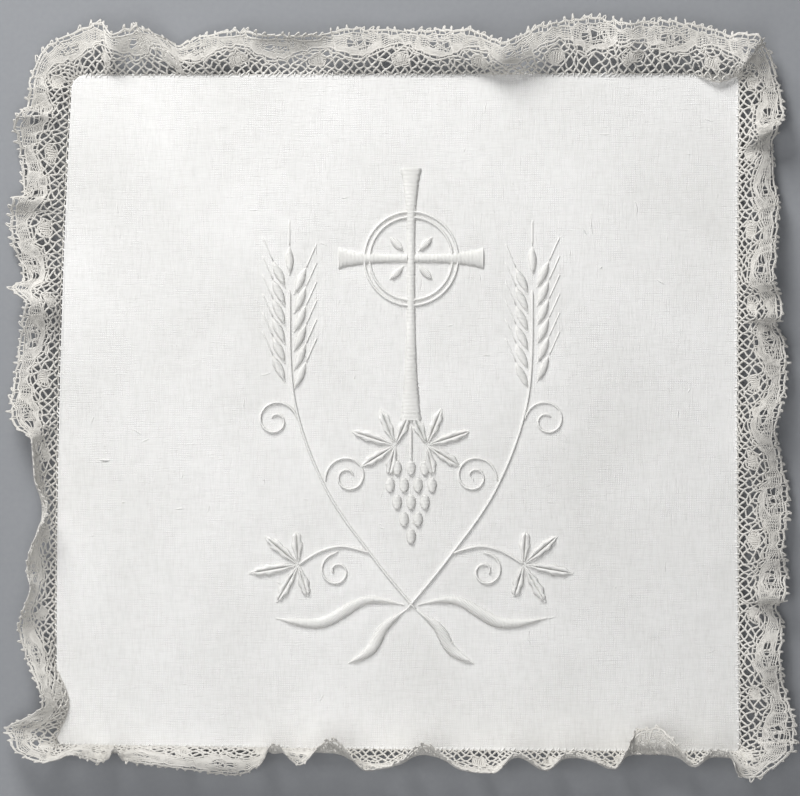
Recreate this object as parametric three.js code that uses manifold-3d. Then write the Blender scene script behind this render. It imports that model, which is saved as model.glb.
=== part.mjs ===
// Chalice pall: a stiffened linen square, embroidered in white, edged with one strip of gathered lace.
// Millimetres, +Z up. The origin is the middle of the panel's underside, and +Y is the top of the design.

import * as THREE from 'three';
import { mergeVertices } from 'three/addons/utils/BufferGeometryUtils.js';
import Module from 'manifold-3d';

// Panel: corners walked clockwise from the top left, each with its rounding, and how far the side
// that starts there bows outwards at its middle
const PANEL_THICKNESS = 2.4;
const PANEL_EDGE_ROUND = 0.8;
const PANEL_EDGE_STEPS = 3;
const PANEL_CURVE_STEPS = 10;
const PANEL_CORNERS = [
  { side: 'top', x: -73.3, y: 74.8, round: 3.0, bow: 0.1 },
  { side: 'right', x: 74.9, y: 75.0, round: 1.2, bow: -0.4 },
  { side: 'bottom', x: 75.1, y: -75.6, round: 1.2, bow: 0.3 },
  { side: 'left', x: -76.7, y: -74.1, round: 1.6, bow: 1.2 },
];

// Lace strip
const LACE_THICKNESS = 1.0;
const SEAM_HEIGHT = 1.2;
const SEAM_GAP = 0.3;
const FLATTEST_BOW = 0.02; // radians, below which the strip counts as straight
const STRIP_ROWS = 4;
const COLUMN_LENGTH = 2.5;
const COLUMNS_MIN = 2;
const COLUMNS_MAX = 6;

// Folds of the lace, a row for each, walked clockwise along the sides.
// along: seam distance past the corner where the side starts. reach and lift: how far the picot edge
// lies out from the seam and above it. fan: degrees that the strip leans onwards. bow: degrees that
// the strip arches, up over its chord where positive and outwards where negative.
const FOLD_COLUMNS = ['along', 'reach', 'lift', 'fan', 'bow'];
const FOLDS = {
  top: [
    [-1.8, 9.6, 0.6, 4, 15],
    [-0.6, 9.8, 0.8, 0, 15],
    [0.6, 9.6, 1.0, 0, 16],
    [1.6, 10.0, 1.0, 0, 16],
    [3.0, 11.4, 1.0, -4, 14],
    [6.0, 12.3, 0.8, 0, 15],
    [8.5, 9.4, 4.0, 2, 25],
    [12.5, 10.9, 3.2, 4, 12],
    [18.0, 11.6, 3.4, -20, 8],
    [23.6, 14.7, 3.0, -42, 5],
    [24.6, 7.0, -0.5, -14, 40],
    [29.5, 9.3, 0.2, 0, 40],
    [37.5, 10.4, 1.2, 0, 5],
    [42.0, 9.2, 2.8, 0, -18],
    [51.5, 9.0, 3.0, 0, -18],
    [61.5, 10.6, 0.6, 0, 30],
    [70.0, 10.5, -0.4, 0, 30],
    [79.0, 10.2, 0.8, 0, 30],
    [87.0, 10.3, 2.2, 0, 30],
    [94.5, 7.2, 4.8, 6, 55],
    [103.0, 10.6, 2.2, -4, 40],
    [110.0, 12.8, 0.2, -2, 20],
    [116.5, 13.4, -0.5, 0, 15],
    [123.0, 11.7, 1.6, 0, 30],
    [127.0, 12.5, 0.4, 0, 22],
    [134.0, 12.1, 1.0, 0, 25],
    [141.0, 10.7, 1.2, 0, 24],
    [145.5, 9.0, 2.0, 0, 30],
  ],
  right: [
    [-0.7, 9.2, 3.6, 2, 34],
    [-0.2, 9.6, 4.8, 0, 34],
    [0.05, 9.2, 1.0, -6, 28],
    [0.5, 8.7, 0.2, -2, 26],
    [5.0, 10.0, 0.4, 0, 26],
    [10.5, 9.9, 3.4, -6, 30],
    [15.5, 9.8, 4.4, -26, 30],
    [18.5, 8.6, -0.4, -22, 40],
    [23.5, 8.2, -0.4, -2, 40],
    [28.5, 9.3, 0.8, 0, 35],
    [37.0, 8.7, 2.0, 0, 40],
    [45.5, 7.9, 3.8, 0, 50],
    [50.0, 9.9, 2.0, 0, 35],
    [53.5, 10.1, 3.4, 2, 30],
    [55.5, 8.8, 0.2, 0, 35],
    [59.0, 10.8, -0.4, 0, 30],
    [63.0, 11.3, 0.8, 0, 25],
    [69.5, 11.0, 1.4, 0, 25],
    [75.5, 9.0, 3.6, 2, 40],
    [79.5, 8.4, 2.8, 0, 45],
    [85.0, 9.9, 0.8, 0, 35],
    [93.0, 11.7, -0.4, 0, 22],
    [98.0, 11.4, 0.6, 0, 22],
    [105.5, 10.4, 1.8, 0, 30],
    [111.0, 11.1, 0.4, 0, 28],
    [115.5, 10.5, 3.4, 4, 28],
    [118.0, 8.7, 0.0, 2, 38],
    [122.5, 10.3, -0.4, 0, 30],
    [129.5, 9.3, 2.2, 0, 38],
    [136.5, 10.4, 1.2, 0, 30],
    [141.5, 12.2, 2.0, 4, 25],
    [147.0, 12.5, 2.8, 4, 25],
  ],
  bottom: [
    [-0.6, 11.8, 3.4, -10, 30],
    [-0.1, 8.6, 4.2, -16, 38],
    [0.5, 6.4, 5.6, -8, 36],
    [1.6, 2.2, 8.4, 0, 0],
    [3.0, -0.8, 9.0, 0, -30],
    [6.4, -1.4, 9.0, 0, -34],
    [10.4, 2.2, 7.4, 0, -50],
    [14.4, -2.6, 6.6, 0, -56],
    [18.5, -5.8, 3.8, 0, -86],
    [23.0, -5.2, 4.2, 0, -82],
    [25.5, -1.0, 8.4, 0, -36],
    [28.0, 3.0, 7.2, 0, -50],
    [33.0, 1.2, 8.8, 0, -25],
    [38.5, -0.6, 8.8, 0, -34],
    [43.0, 3.6, 7.4, 0, -48],
    [49.5, -0.4, 9.0, 0, -32],
    [55.0, 4.5, 7.0, 0, -42],
    [61.5, 3.6, 7.4, 0, -46],
    [70.0, -2.4, 8.2, 0, -42],
    [75.5, 1.8, 8.4, 0, -45],
    [82.5, 4.0, 7.2, 0, -45],
    [90.4, -3.3, 7.8, 0, -50],
    [97.5, 3.1, 6.4, 0, 25],
    [103.0, -2.0, 8.6, 0, -40],
    [106.5, 3.8, 3.6, 0, 46],
    [112.0, 6.0, 1.8, 0, 70],
    [121.0, 5.1, 2.4, 0, 64],
    [131.0, 3.8, 3.4, 0, 48],
    [136.0, 2.9, 6.6, 0, 15],
    [138.0, -0.6, 9.2, 0, -32],
    [139.8, 2.6, 6.6, 0, 15],
    [142.0, 3.6, 3.6, 0, 44],
    [147.5, 1.4, 8.2, 0, 0],
  ],
  left: [
    [-0.6, 2.6, 8.6, 0, -25],
    [0.0, 6.4, 7.4, 16, 5],
    [0.7, 10.4, 3.2, 10, 25],
    [3.2, 11.4, 1.4, 0, 38],
    [5.6, 7.6, 3.6, 0, 48],
    [8.8, 2.6, 5.6, 0, 26],
    [12.5, 3.4, 5.6, 0, 32],
    [19.0, 6.2, 3.6, 0, 38],
    [26.0, 8.2, 4.6, 0, -20],
    [30.5, 6.8, 5.6, 0, -32],
    [34.5, 5.2, 6.6, 0, -42],
    [39.0, 6.2, 5.0, 0, -30],
    [44.0, 5.2, 5.6, 0, -38],
    [52.0, 1.2, 7.8, 0, -58],
    [59.0, 4.3, 7.0, 0, -48],
    [67.0, 5.2, 6.6, -4, -42],
    [69.5, 6.4, 5.6, -10, -10],
    [71.5, 9.8, 3.8, -4, 25],
    [74.5, 10.8, 2.0, 0, 25],
    [80.5, 10.4, 0.2, 0, 28],
    [87.0, 9.3, 0.8, 0, 35],
    [92.5, 8.6, 3.0, 0, 38],
    [97.0, 7.8, 4.8, 4, 42],
    [100.5, 11.6, 3.8, 2, 24],
    [103.5, 8.8, 0.2, -4, 38],
    [107.0, 10.0, -0.4, 0, 32],
    [111.0, 11.9, 0.4, 0, 22],
    [116.5, 12.7, 0.6, 0, 18],
    [120.0, 12.0, 2.8, 2, 22],
    [122.5, 9.8, -0.2, -4, 32],
    [129.0, 10.6, -0.2, 0, 30],
    [136.0, 12.3, 1.6, 0, 20],
    [139.0, 11.4, 3.2, 2, 25],
    [141.5, 9.9, 0.2, -2, 32],
    [145.0, 9.6, 0.8, 0, 32],
  ],
};

// Embroidery: a flared cross in a wreath of wheat, vine leaves and grapes, the same on both sides of its
// own middle line
const DESIGN_X = 2.0;
const DESIGN_Y = 3.0;
const BOTH_SIDES = [-1, 1];
const STITCH_SINK = 0.25;
const SATIN_HEIGHT = 0.6;
const STEM_HEIGHT = 0.35;
const STEM_WIDTH = 0.6;
const TIP_WIDTH = 0.12;
const PADDED_HALF = 0.5; // half width from which stitching stands at its full height
const LEAF_FULLEST = 1.15; // above 1, a leaf is fullest past its middle
const LEAF_STEPS = 4;
const STEM_STEPS = 9;

// Cross arms from the crossing outwards, with the width at the crossing and at the flared end
const CROSS_CENTRE_Y = 31;
const CROSS_WAIST = 1.8;
const CROSS_FLARE = 4.8;
const CROSS_FLARE_POWER = 3;
const CROSS_ARMS = [
  { turn: 0, length: 16 },
  { turn: 90, length: 20 },
  { turn: 180, length: 16 },
  { turn: 270, length: 36 },
];

// Stems of the right-hand half, each a smooth line through its points
const WHEAT_STEM = [[-1, -47], [8, -36], [19, -20], [26, 0], [27, 24]];
const LEAF_STEM = [[9, -34.5], [15, -33], [20, -34], [25, -37]];
const BLADE_LINES = [
  [[1.5, -46], [10, -45], [20, -50], [30, -49]],
  [[1, -47], [6, -51], [9, -56], [14, -59]],
];
const BLADE_WIDTH = 2.5;

// Wheat ear: pairs of grains up the stem's end and one at its tip
const EAR_PAIRS = 6;
const EAR_START_Y = 2;
const EAR_PITCH = 4.2;
const EAR_LEAN = 24;
const EAR_STAGGER = 1.5;
const GRAIN_OFFSET = 1.0;
const GRAIN_LENGTH = 6.4;
const GRAIN_WIDTH = 1.8;

// Vine leaves of the right-hand half: slender lobes spread round the leaf's foot
const VINE_LEAVES = [
  { x: 25, y: -37, turn: -10, size: 11 },
  { x: 3.5, y: -10.5, turn: 18, size: 10 },
];
const LOBE_TURNS = [-96, -50, 0, 50, 96];
const LOBE_SHARES = [0.66, 0.86, 1.0, 0.86, 0.66];
const LOBE_WIDTH = 2.1;

// Grapes: rows of the bunch that hangs under the cross, from its stalk down to its tip
const BUNCH_TOP_Y = -14;
const BUNCH_ROWS = [3, 4, 3, 2, 1];
const GRAPE_PITCH_X = 3.1;
const GRAPE_PITCH_Y = 3.8;
const GRAPE_LENGTH = 3.1;
const GRAPE_WIDTH = 2.1;

const WELD_DISTANCE = 1e-4;
const degrees = THREE.MathUtils.degToRad;
const wasm = await Module();
wasm.setup();

// The panel's outline, walked clockwise: a bowed side, then the rounding of the corner that ends it
function panelOutline() {
  const corners = PANEL_CORNERS.map((c) => new THREE.Vector2(c.x, c.y));
  const next = (i) => (i + 1) % corners.length;
  const cutBack = (from, towards, round) =>
    from.clone().addScaledVector(towards.clone().sub(from).normalize(), round);
  const shape = new THREE.Shape();
  corners.forEach((corner, i) => {
    const end = corners[next(i)];
    const start = cutBack(corner, end, PANEL_CORNERS[i].round);
    const stop = cutBack(end, corner, PANEL_CORNERS[next(i)].round);
    const along = end.clone().sub(corner).normalize();
    const outward = new THREE.Vector2(-along.y, along.x);
    const middle = start.clone().add(stop).multiplyScalar(0.5);
    middle.addScaledVector(outward, 2 * PANEL_CORNERS[i].bow);
    const after = cutBack(end, corners[next(next(i))], PANEL_CORNERS[next(i)].round);
    if (i === 0) shape.moveTo(start.x, start.y);
    shape.quadraticCurveTo(middle.x, middle.y, stop.x, stop.y);
    shape.quadraticCurveTo(end.x, end.y, after.x, after.y);
  });
  return shape;
}

// A solid for joining, from any closed geometry
function toSolid(geometry) {
  const bare = geometry.clone();
  bare.deleteAttribute('normal');
  bare.deleteAttribute('uv');
  const merged = mergeVertices(bare, WELD_DISTANCE);
  const vertProperties = new Float32Array(merged.attributes.position.array);
  const triVerts = new Uint32Array(merged.index.array);
  return new wasm.Manifold(new wasm.Mesh({ numProp: 3, vertProperties, triVerts }));
}

// A geometry from a joined solid
function toGeometry(solid) {
  const mesh = solid.getMesh();
  const geometry = new THREE.BufferGeometry();
  geometry.setAttribute('position', new THREE.BufferAttribute(new Float32Array(mesh.vertProperties), 3));
  geometry.setIndex(new THREE.BufferAttribute(new Uint32Array(mesh.triVerts), 1));
  geometry.computeVertexNormals();
  return geometry;
}

// A raised line of stitching: a low ridge along a flat curve, its width set by widthAt(0 to 1)
function ridge(curve, steps, height, widthAt) {
  const points = [];
  const sink = PANEL_THICKNESS - STITCH_SINK;
  for (let i = 0; i <= steps; i += 1) {
    const share = i / steps;
    const at = curve.getPoint(share);
    const way = curve.getTangent(share);
    const half = Math.max(widthAt(share), TIP_WIDTH) / 2;
    const rise = height * Math.min(1, half / PADDED_HALF);
    points.push(at.x - way.y * half, at.y + way.x * half, sink);
    points.push(at.x, at.y, PANEL_THICKNESS + rise);
    points.push(at.x + way.y * half, at.y - way.x * half, sink);
  }
  const index = [0, 2, 1];
  for (let i = 0; i < steps; i += 1) {
    for (let k = 0; k < 3; k += 1) {
      const a = 3 * i + k;
      const b = 3 * i + ((k + 1) % 3);
      index.push(a, b, a + 3, b, b + 3, a + 3);
    }
  }
  const last = 3 * steps;
  index.push(last, last + 1, last + 2);
  const geometry = new THREE.BufferGeometry();
  geometry.setAttribute('position', new THREE.BufferAttribute(new Float32Array(points), 3));
  geometry.setIndex(index);
  return geometry;
}

// A smooth flat curve through a half-design's points, on its left or right side
function designCurve(points, side) {
  return new THREE.SplineCurve(points.map(([x, y]) => new THREE.Vector2(DESIGN_X + side * x, DESIGN_Y + y)));
}

// A straight line in the design from a foot, turned from +X anticlockwise, mirrored on the left side
function designRay(x, y, turn, length, side) {
  const away = degrees(turn);
  return new THREE.LineCurve(
    new THREE.Vector2(DESIGN_X + side * x, DESIGN_Y + y),
    new THREE.Vector2(DESIGN_X + side * (x + length * Math.cos(away)), DESIGN_Y + y + length * Math.sin(away)),
  );
}

// Width of a padded leaf, pointed at both ends and fullest a little past its middle
const leafWidth = (width) => (share) => width * Math.sin(Math.PI * share ** LEAF_FULLEST);

// Width of a grape, full from its shoulder to its round foot
const grapeWidth = (width) => (share) => width * Math.sqrt(Math.max(0, 1 - (2 * share - 1) ** 2));

// Every raised element of the embroidery
function embroidery() {
  const raised = [];
  CROSS_ARMS.forEach(({ turn, length }) => {
    const line = designRay(0, CROSS_CENTRE_Y, turn, length, 1);
    const flare = (share) => THREE.MathUtils.lerp(CROSS_WAIST, CROSS_FLARE, share ** CROSS_FLARE_POWER);
    raised.push(ridge(line, LEAF_STEPS, SATIN_HEIGHT, flare));
  });
  raised.push(...grapeBunch());
  BOTH_SIDES.forEach((side) => {
    [WHEAT_STEM, LEAF_STEM].forEach((points) => {
      raised.push(ridge(designCurve(points, side), STEM_STEPS, STEM_HEIGHT, () => STEM_WIDTH));
    });
    BLADE_LINES.forEach((points) => {
      raised.push(ridge(designCurve(points, side), STEM_STEPS, SATIN_HEIGHT, leafWidth(BLADE_WIDTH)));
    });
    raised.push(...wheatEar(side), ...vineLeaves(side));
  });
  return raised;
}

// Grains in pairs that lean off the stem, with a single grain on top
function wheatEar(side) {
  const stemX = WHEAT_STEM.at(-1)[0];
  const grain = (x, y, turn) =>
    ridge(designRay(x, y, turn, GRAIN_LENGTH, side), LEAF_STEPS, SATIN_HEIGHT, leafWidth(GRAIN_WIDTH));
  const grains = [grain(stemX, EAR_START_Y + EAR_PAIRS * EAR_PITCH, 90)];
  for (let pair = 0; pair < EAR_PAIRS; pair += 1) {
    const y = EAR_START_Y + pair * EAR_PITCH;
    grains.push(grain(stemX - GRAIN_OFFSET, y, 90 + EAR_LEAN));
    grains.push(grain(stemX + GRAIN_OFFSET, y + EAR_STAGGER, 90 - EAR_LEAN));
  }
  return grains;
}

// Leaves of five slender lobes
function vineLeaves(side) {
  return VINE_LEAVES.flatMap(({ x, y, turn, size }) =>
    LOBE_TURNS.map((spread, i) => {
      const line = designRay(x, y, turn + spread, size * LOBE_SHARES[i], side);
      return ridge(line, LEAF_STEPS, SATIN_HEIGHT, leafWidth(LOBE_WIDTH));
    }),
  );
}

// Grapes in rows that narrow to the tip of the bunch
function grapeBunch() {
  return BUNCH_ROWS.flatMap((count, row) =>
    Array.from({ length: count }, (_, i) => {
      const x = (i - (count - 1) / 2) * GRAPE_PITCH_X;
      const line = designRay(x, BUNCH_TOP_Y - row * GRAPE_PITCH_Y, -90, GRAPE_LENGTH, 1);
      return ridge(line, LEAF_STEPS, SATIN_HEIGHT, grapeWidth(GRAPE_WIDTH));
    }),
  );
}

// The linen square with its rounded edge, and the embroidery raised on its top face
function linenPanel(outline) {
  const plate = new THREE.ExtrudeGeometry(outline, {
    depth: PANEL_THICKNESS - 2 * PANEL_EDGE_ROUND,
    curveSegments: PANEL_CURVE_STEPS,
    bevelThickness: PANEL_EDGE_ROUND,
    bevelSize: PANEL_EDGE_ROUND,
    bevelOffset: -PANEL_EDGE_ROUND,
    bevelSegments: PANEL_EDGE_STEPS,
  });
  plate.translate(0, 0, PANEL_EDGE_ROUND);
  const joined = embroidery().reduce((solid, raised) => solid.add(toSolid(raised)), toSolid(plate));
  return toGeometry(joined);
}

// Fold rows of all four sides, with along turned into the seam distance from the outline's start
function foldRows(outline) {
  const lengths = outline.getCurveLengths();
  const total = lengths.at(-1);
  return PANEL_CORNERS.flatMap(({ side }, i) => {
    const before = i === 0 ? lengths.at(-2) - total : lengths[2 * i - 2];
    const after = i === 0 ? 0 : lengths[2 * i - 1];
    const corner = (before + after) / 2;
    return FOLDS[side].map((row) => {
      const fold = Object.fromEntries(FOLD_COLUMNS.map((name, k) => [name, row[k]]));
      return { ...fold, seam: corner + fold.along };
    });
  });
}

// Smooth value between two rows that never passes either of them
function blend(before, from, to, after, share) {
  const slope = (a, b) => (a * b <= 0 ? 0 : (2 * a * b) / (a + b));
  const m0 = slope(from - before, to - from);
  const m1 = slope(to - from, after - to);
  const s2 = share * share;
  const s3 = s2 * share;
  return from * (2 * s3 - 3 * s2 + 1) + m0 * (s3 - 2 * s2 + share) + to * (3 * s2 - 2 * s3) + m1 * (s3 - s2);
}

// One fold's values at a share of the way from a row to the next, round the closed strip
function foldBetween(rows, i, share, total) {
  const row = (k) => {
    const turns = Math.floor(k / rows.length);
    const found = rows[k - turns * rows.length];
    return { ...found, seam: found.seam + turns * total };
  };
  const four = [row(i - 1), row(i), row(i + 1), row(i + 2)];
  const mix = (name) => blend(...four.map((r) => r[name]), share);
  return {
    seam: mix('seam'),
    reach: mix('reach'),
    lift: mix('lift'),
    fan: degrees(mix('fan')),
    bow: degrees(mix('bow')),
  };
}

// A point across the strip, from the seam (0) to the picot edge (1)
function stripPoint(outline, total, fold, share) {
  const at = THREE.MathUtils.euclideanModulo(fold.seam / total, 1);
  const foot = outline.getPoint(at);
  const way = outline.getTangent(at);
  const out = new THREE.Vector2(-way.y, way.x);
  const lean = out.clone().multiplyScalar(Math.cos(fold.fan)).addScaledVector(way, Math.sin(fold.fan));
  const chord = Math.hypot(fold.reach, fold.lift);
  const rise = Math.atan2(fold.lift, fold.reach);
  const arch = Math.abs(fold.bow) < FLATTEST_BOW ? FLATTEST_BOW : fold.bow;
  const swing = arch * (1 - 2 * share);
  const forth = (chord * (Math.sin(arch) - Math.sin(swing))) / (2 * Math.sin(arch));
  const up = (chord * (Math.cos(swing) - Math.cos(arch))) / (2 * Math.sin(arch));
  const clear = SEAM_GAP + (LACE_THICKNESS / 2) * Math.abs(Math.sin(rise + arch));
  const away = forth * Math.cos(rise) - up * Math.sin(rise);
  const height = SEAM_HEIGHT + forth * Math.sin(rise) + up * Math.cos(rise);
  return new THREE.Vector3(
    foot.x + out.x * clear + lean.x * away,
    foot.y + out.y * clear + lean.y * away,
    Math.max(height, LACE_THICKNESS / 2),
  );
}

// The gathered strip as one closed ring of a sheet, its two faces set half a thickness off its middle
function laceFrill(outline) {
  const total = outline.getLength();
  const rows = foldRows(outline);
  const columns = [];
  rows.forEach((_, i) => {
    const ends = [0, 1].map((share) => foldBetween(rows, i, share, total));
    const spans = [0, 1].map((across) =>
      stripPoint(outline, total, ends[0], across).distanceTo(stripPoint(outline, total, ends[1], across)));
    const wanted = Math.round(Math.max(...spans) / COLUMN_LENGTH);
    const steps = THREE.MathUtils.clamp(wanted, COLUMNS_MIN, COLUMNS_MAX);
    for (let k = 0; k < steps; k += 1) columns.push(foldBetween(rows, i, k / steps, total));
  });
  const count = columns.length;
  const across = STRIP_ROWS + 1;
  const middle = columns.map((fold) =>
    Array.from({ length: across }, (_, r) => stripPoint(outline, total, fold, r / STRIP_ROWS)));
  const faces = [1, -1].map((face) => middle.map((column, c) => column.map((point, r) => {
    const onwards = middle[(c + 1) % count][r].clone().sub(middle[(c + count - 1) % count][r]);
    const outwards = column[Math.min(r + 1, STRIP_ROWS)].clone().sub(column[Math.max(r - 1, 0)]);
    const normal = outwards.cross(onwards).normalize().multiplyScalar(-face * LACE_THICKNESS / 2);
    const moved = point.clone().add(normal);
    moved.z = Math.max(moved.z, 0);
    return moved;
  })));
  const positions = faces.flat(2).flatMap((point) => point.toArray());
  const vertex = (face, c, r) => (face * count + (c % count)) * across + r;
  const index = [];
  const quad = (a, b, c, d) => index.push(a, b, c, a, c, d);
  for (let c = 0; c < count; c += 1) {
    for (let r = 0; r < STRIP_ROWS; r += 1) {
      quad(vertex(0, c, r), vertex(0, c + 1, r), vertex(0, c + 1, r + 1), vertex(0, c, r + 1));
      quad(vertex(1, c, r), vertex(1, c, r + 1), vertex(1, c + 1, r + 1), vertex(1, c + 1, r));
    }
    const edge = STRIP_ROWS;
    quad(vertex(0, c, 0), vertex(1, c, 0), vertex(1, c + 1, 0), vertex(0, c + 1, 0));
    quad(vertex(0, c, edge), vertex(0, c + 1, edge), vertex(1, c + 1, edge), vertex(1, c, edge));
  }
  const geometry = new THREE.BufferGeometry();
  geometry.setAttribute('position', new THREE.BufferAttribute(new Float32Array(positions), 3));
  geometry.setIndex(index);
  geometry.computeVertexNormals();
  return geometry;
}

const outline = panelOutline();
const linen = new THREE.MeshStandardMaterial({ color: 0xf1f0ec, roughness: 0.85, metalness: 0 });
const lace = new THREE.MeshStandardMaterial({ color: 0xeceae4, roughness: 0.8, metalness: 0 });

const panel = new THREE.Mesh(linenPanel(outline), linen);
panel.name = 'linen_panel';
const frill = new THREE.Mesh(laceFrill(outline), lace);
frill.name = 'lace_frill';

const pall = new THREE.Group();
pall.add(panel, frill);

export default pall;
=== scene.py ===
"""Chalice pall: a stiffened linen square, embroidered in white, with a gathered bobbin-lace edging."""
import logging
import math
from dataclasses import dataclass, field
from enum import Enum
from typing import Callable

import bmesh
import bpy
import numpy as np
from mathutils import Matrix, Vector
from mathutils.kdtree import KDTree


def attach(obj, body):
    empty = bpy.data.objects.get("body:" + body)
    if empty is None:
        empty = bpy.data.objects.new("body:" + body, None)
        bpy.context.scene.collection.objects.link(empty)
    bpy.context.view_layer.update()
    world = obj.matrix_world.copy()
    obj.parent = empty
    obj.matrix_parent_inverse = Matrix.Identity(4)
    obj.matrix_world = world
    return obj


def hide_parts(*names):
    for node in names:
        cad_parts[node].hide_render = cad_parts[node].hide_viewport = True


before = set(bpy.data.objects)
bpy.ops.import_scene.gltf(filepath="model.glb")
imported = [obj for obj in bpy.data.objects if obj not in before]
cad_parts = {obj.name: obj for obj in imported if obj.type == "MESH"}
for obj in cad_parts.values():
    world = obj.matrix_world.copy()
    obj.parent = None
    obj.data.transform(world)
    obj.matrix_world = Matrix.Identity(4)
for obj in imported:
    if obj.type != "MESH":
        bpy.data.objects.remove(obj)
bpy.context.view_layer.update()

MM = 0.001
TINY = 1e-9
SEED = 11136
PHOTO_WIDTH, PHOTO_HEIGHT = 800, 796
PHOTO_PIXELS_PER_MM = 4.5
LINEN_THICKNESS = 2.4  # mm
log = logging.getLogger("pall")


class Side(Enum):
    """Sides of the linen square, walked clockwise from the top left corner."""

    TOP = 0
    RIGHT = 1
    BOTTOM = 2
    LEFT = 3


# Finishes

WAVE_PERIOD = math.tau / 20  # length in which a wave texture of scale 1 repeats


def linear(hex_colour: str) -> tuple[float, float, float, float]:
    """Turns an sRGB hex colour into linear RGBA.

    Args:
        hex_colour: six hex digits with a leading hash.

    Returns:
        Linear red, green, blue and an alpha of 1.
    """
    parts = [int(hex_colour[i:i + 2], 16) / 255 for i in (1, 3, 5)]
    low = [c / 12.92 if c <= 0.04045 else ((c + 0.055) / 1.055) ** 2.4 for c in parts]
    return (*low, 1.0)


def add_node(tree: bpy.types.NodeTree, kind: str, settings: dict | None = None,
             inputs: dict | None = None) -> bpy.types.Node:
    """Adds a shader node, sets it up and links or fills its inputs.

    Args:
        tree: the material's node tree.
        kind: the node's class name without the leading ShaderNode.
        settings: attributes of the node itself.
        inputs: values or output sockets by input name or number.

    Returns:
        The new node.
    """
    node = tree.nodes.new(f"ShaderNode{kind}")
    for name, value in (settings or {}).items():
        setattr(node, name, value)
    for name, value in (inputs or {}).items():
        if isinstance(value, bpy.types.NodeSocket):
            tree.links.new(value, node.inputs[name])
        else:
            node.inputs[name].default_value = value
    return node


def new_material(name: str) -> tuple[bpy.types.Material, bpy.types.NodeTree, bpy.types.Node]:
    """Starts a node material.

    Args:
        name: the material's name.

    Returns:
        The material, its node tree and its shader.
    """
    material = bpy.data.materials.new(name)
    material.use_nodes = True
    tree = material.node_tree
    return material, tree, tree.nodes["Principled BSDF"]


def finish_yarn(look: "LinenFinish | ThreadFinish", tree: bpy.types.NodeTree, tone: bpy.types.NodeSocket,
                height: bpy.types.NodeSocket) -> None:
    """Gives a cloth's or a thread's shader its colour, relief and soft light.

    Args:
        look: the finish.
        tree: its material's node tree.
        tone: how far each place goes from the light colour to the shade colour; on the linen this holds
            painted shade between the threads.
        height: its fine relief.
    """
    shader = tree.nodes["Principled BSDF"]
    spread = add_node(tree, "MapRange", {}, {"Value": tone, "From Min": look.tone_range[0],
                                             "From Max": look.tone_range[1]}).outputs[0]
    colour = add_node(tree, "Mix", {"data_type": "RGBA"},
                      {"Factor": spread, 6: linear(look.light), 7: linear(look.shade)}).outputs[2]
    bump = add_node(tree, "Bump", {}, {"Height": height, "Strength": look.bump,
                                       "Distance": look.relief_mm * MM}).outputs[0]
    tree.links.new(colour, shader.inputs["Base Color"])
    tree.links.new(bump, shader.inputs["Normal"])
    for name, value in (("Roughness", look.roughness), ("Specular IOR Level", look.specular),
                        ("Sheen Weight", look.sheen)):
        shader.inputs[name].default_value = value


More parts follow.
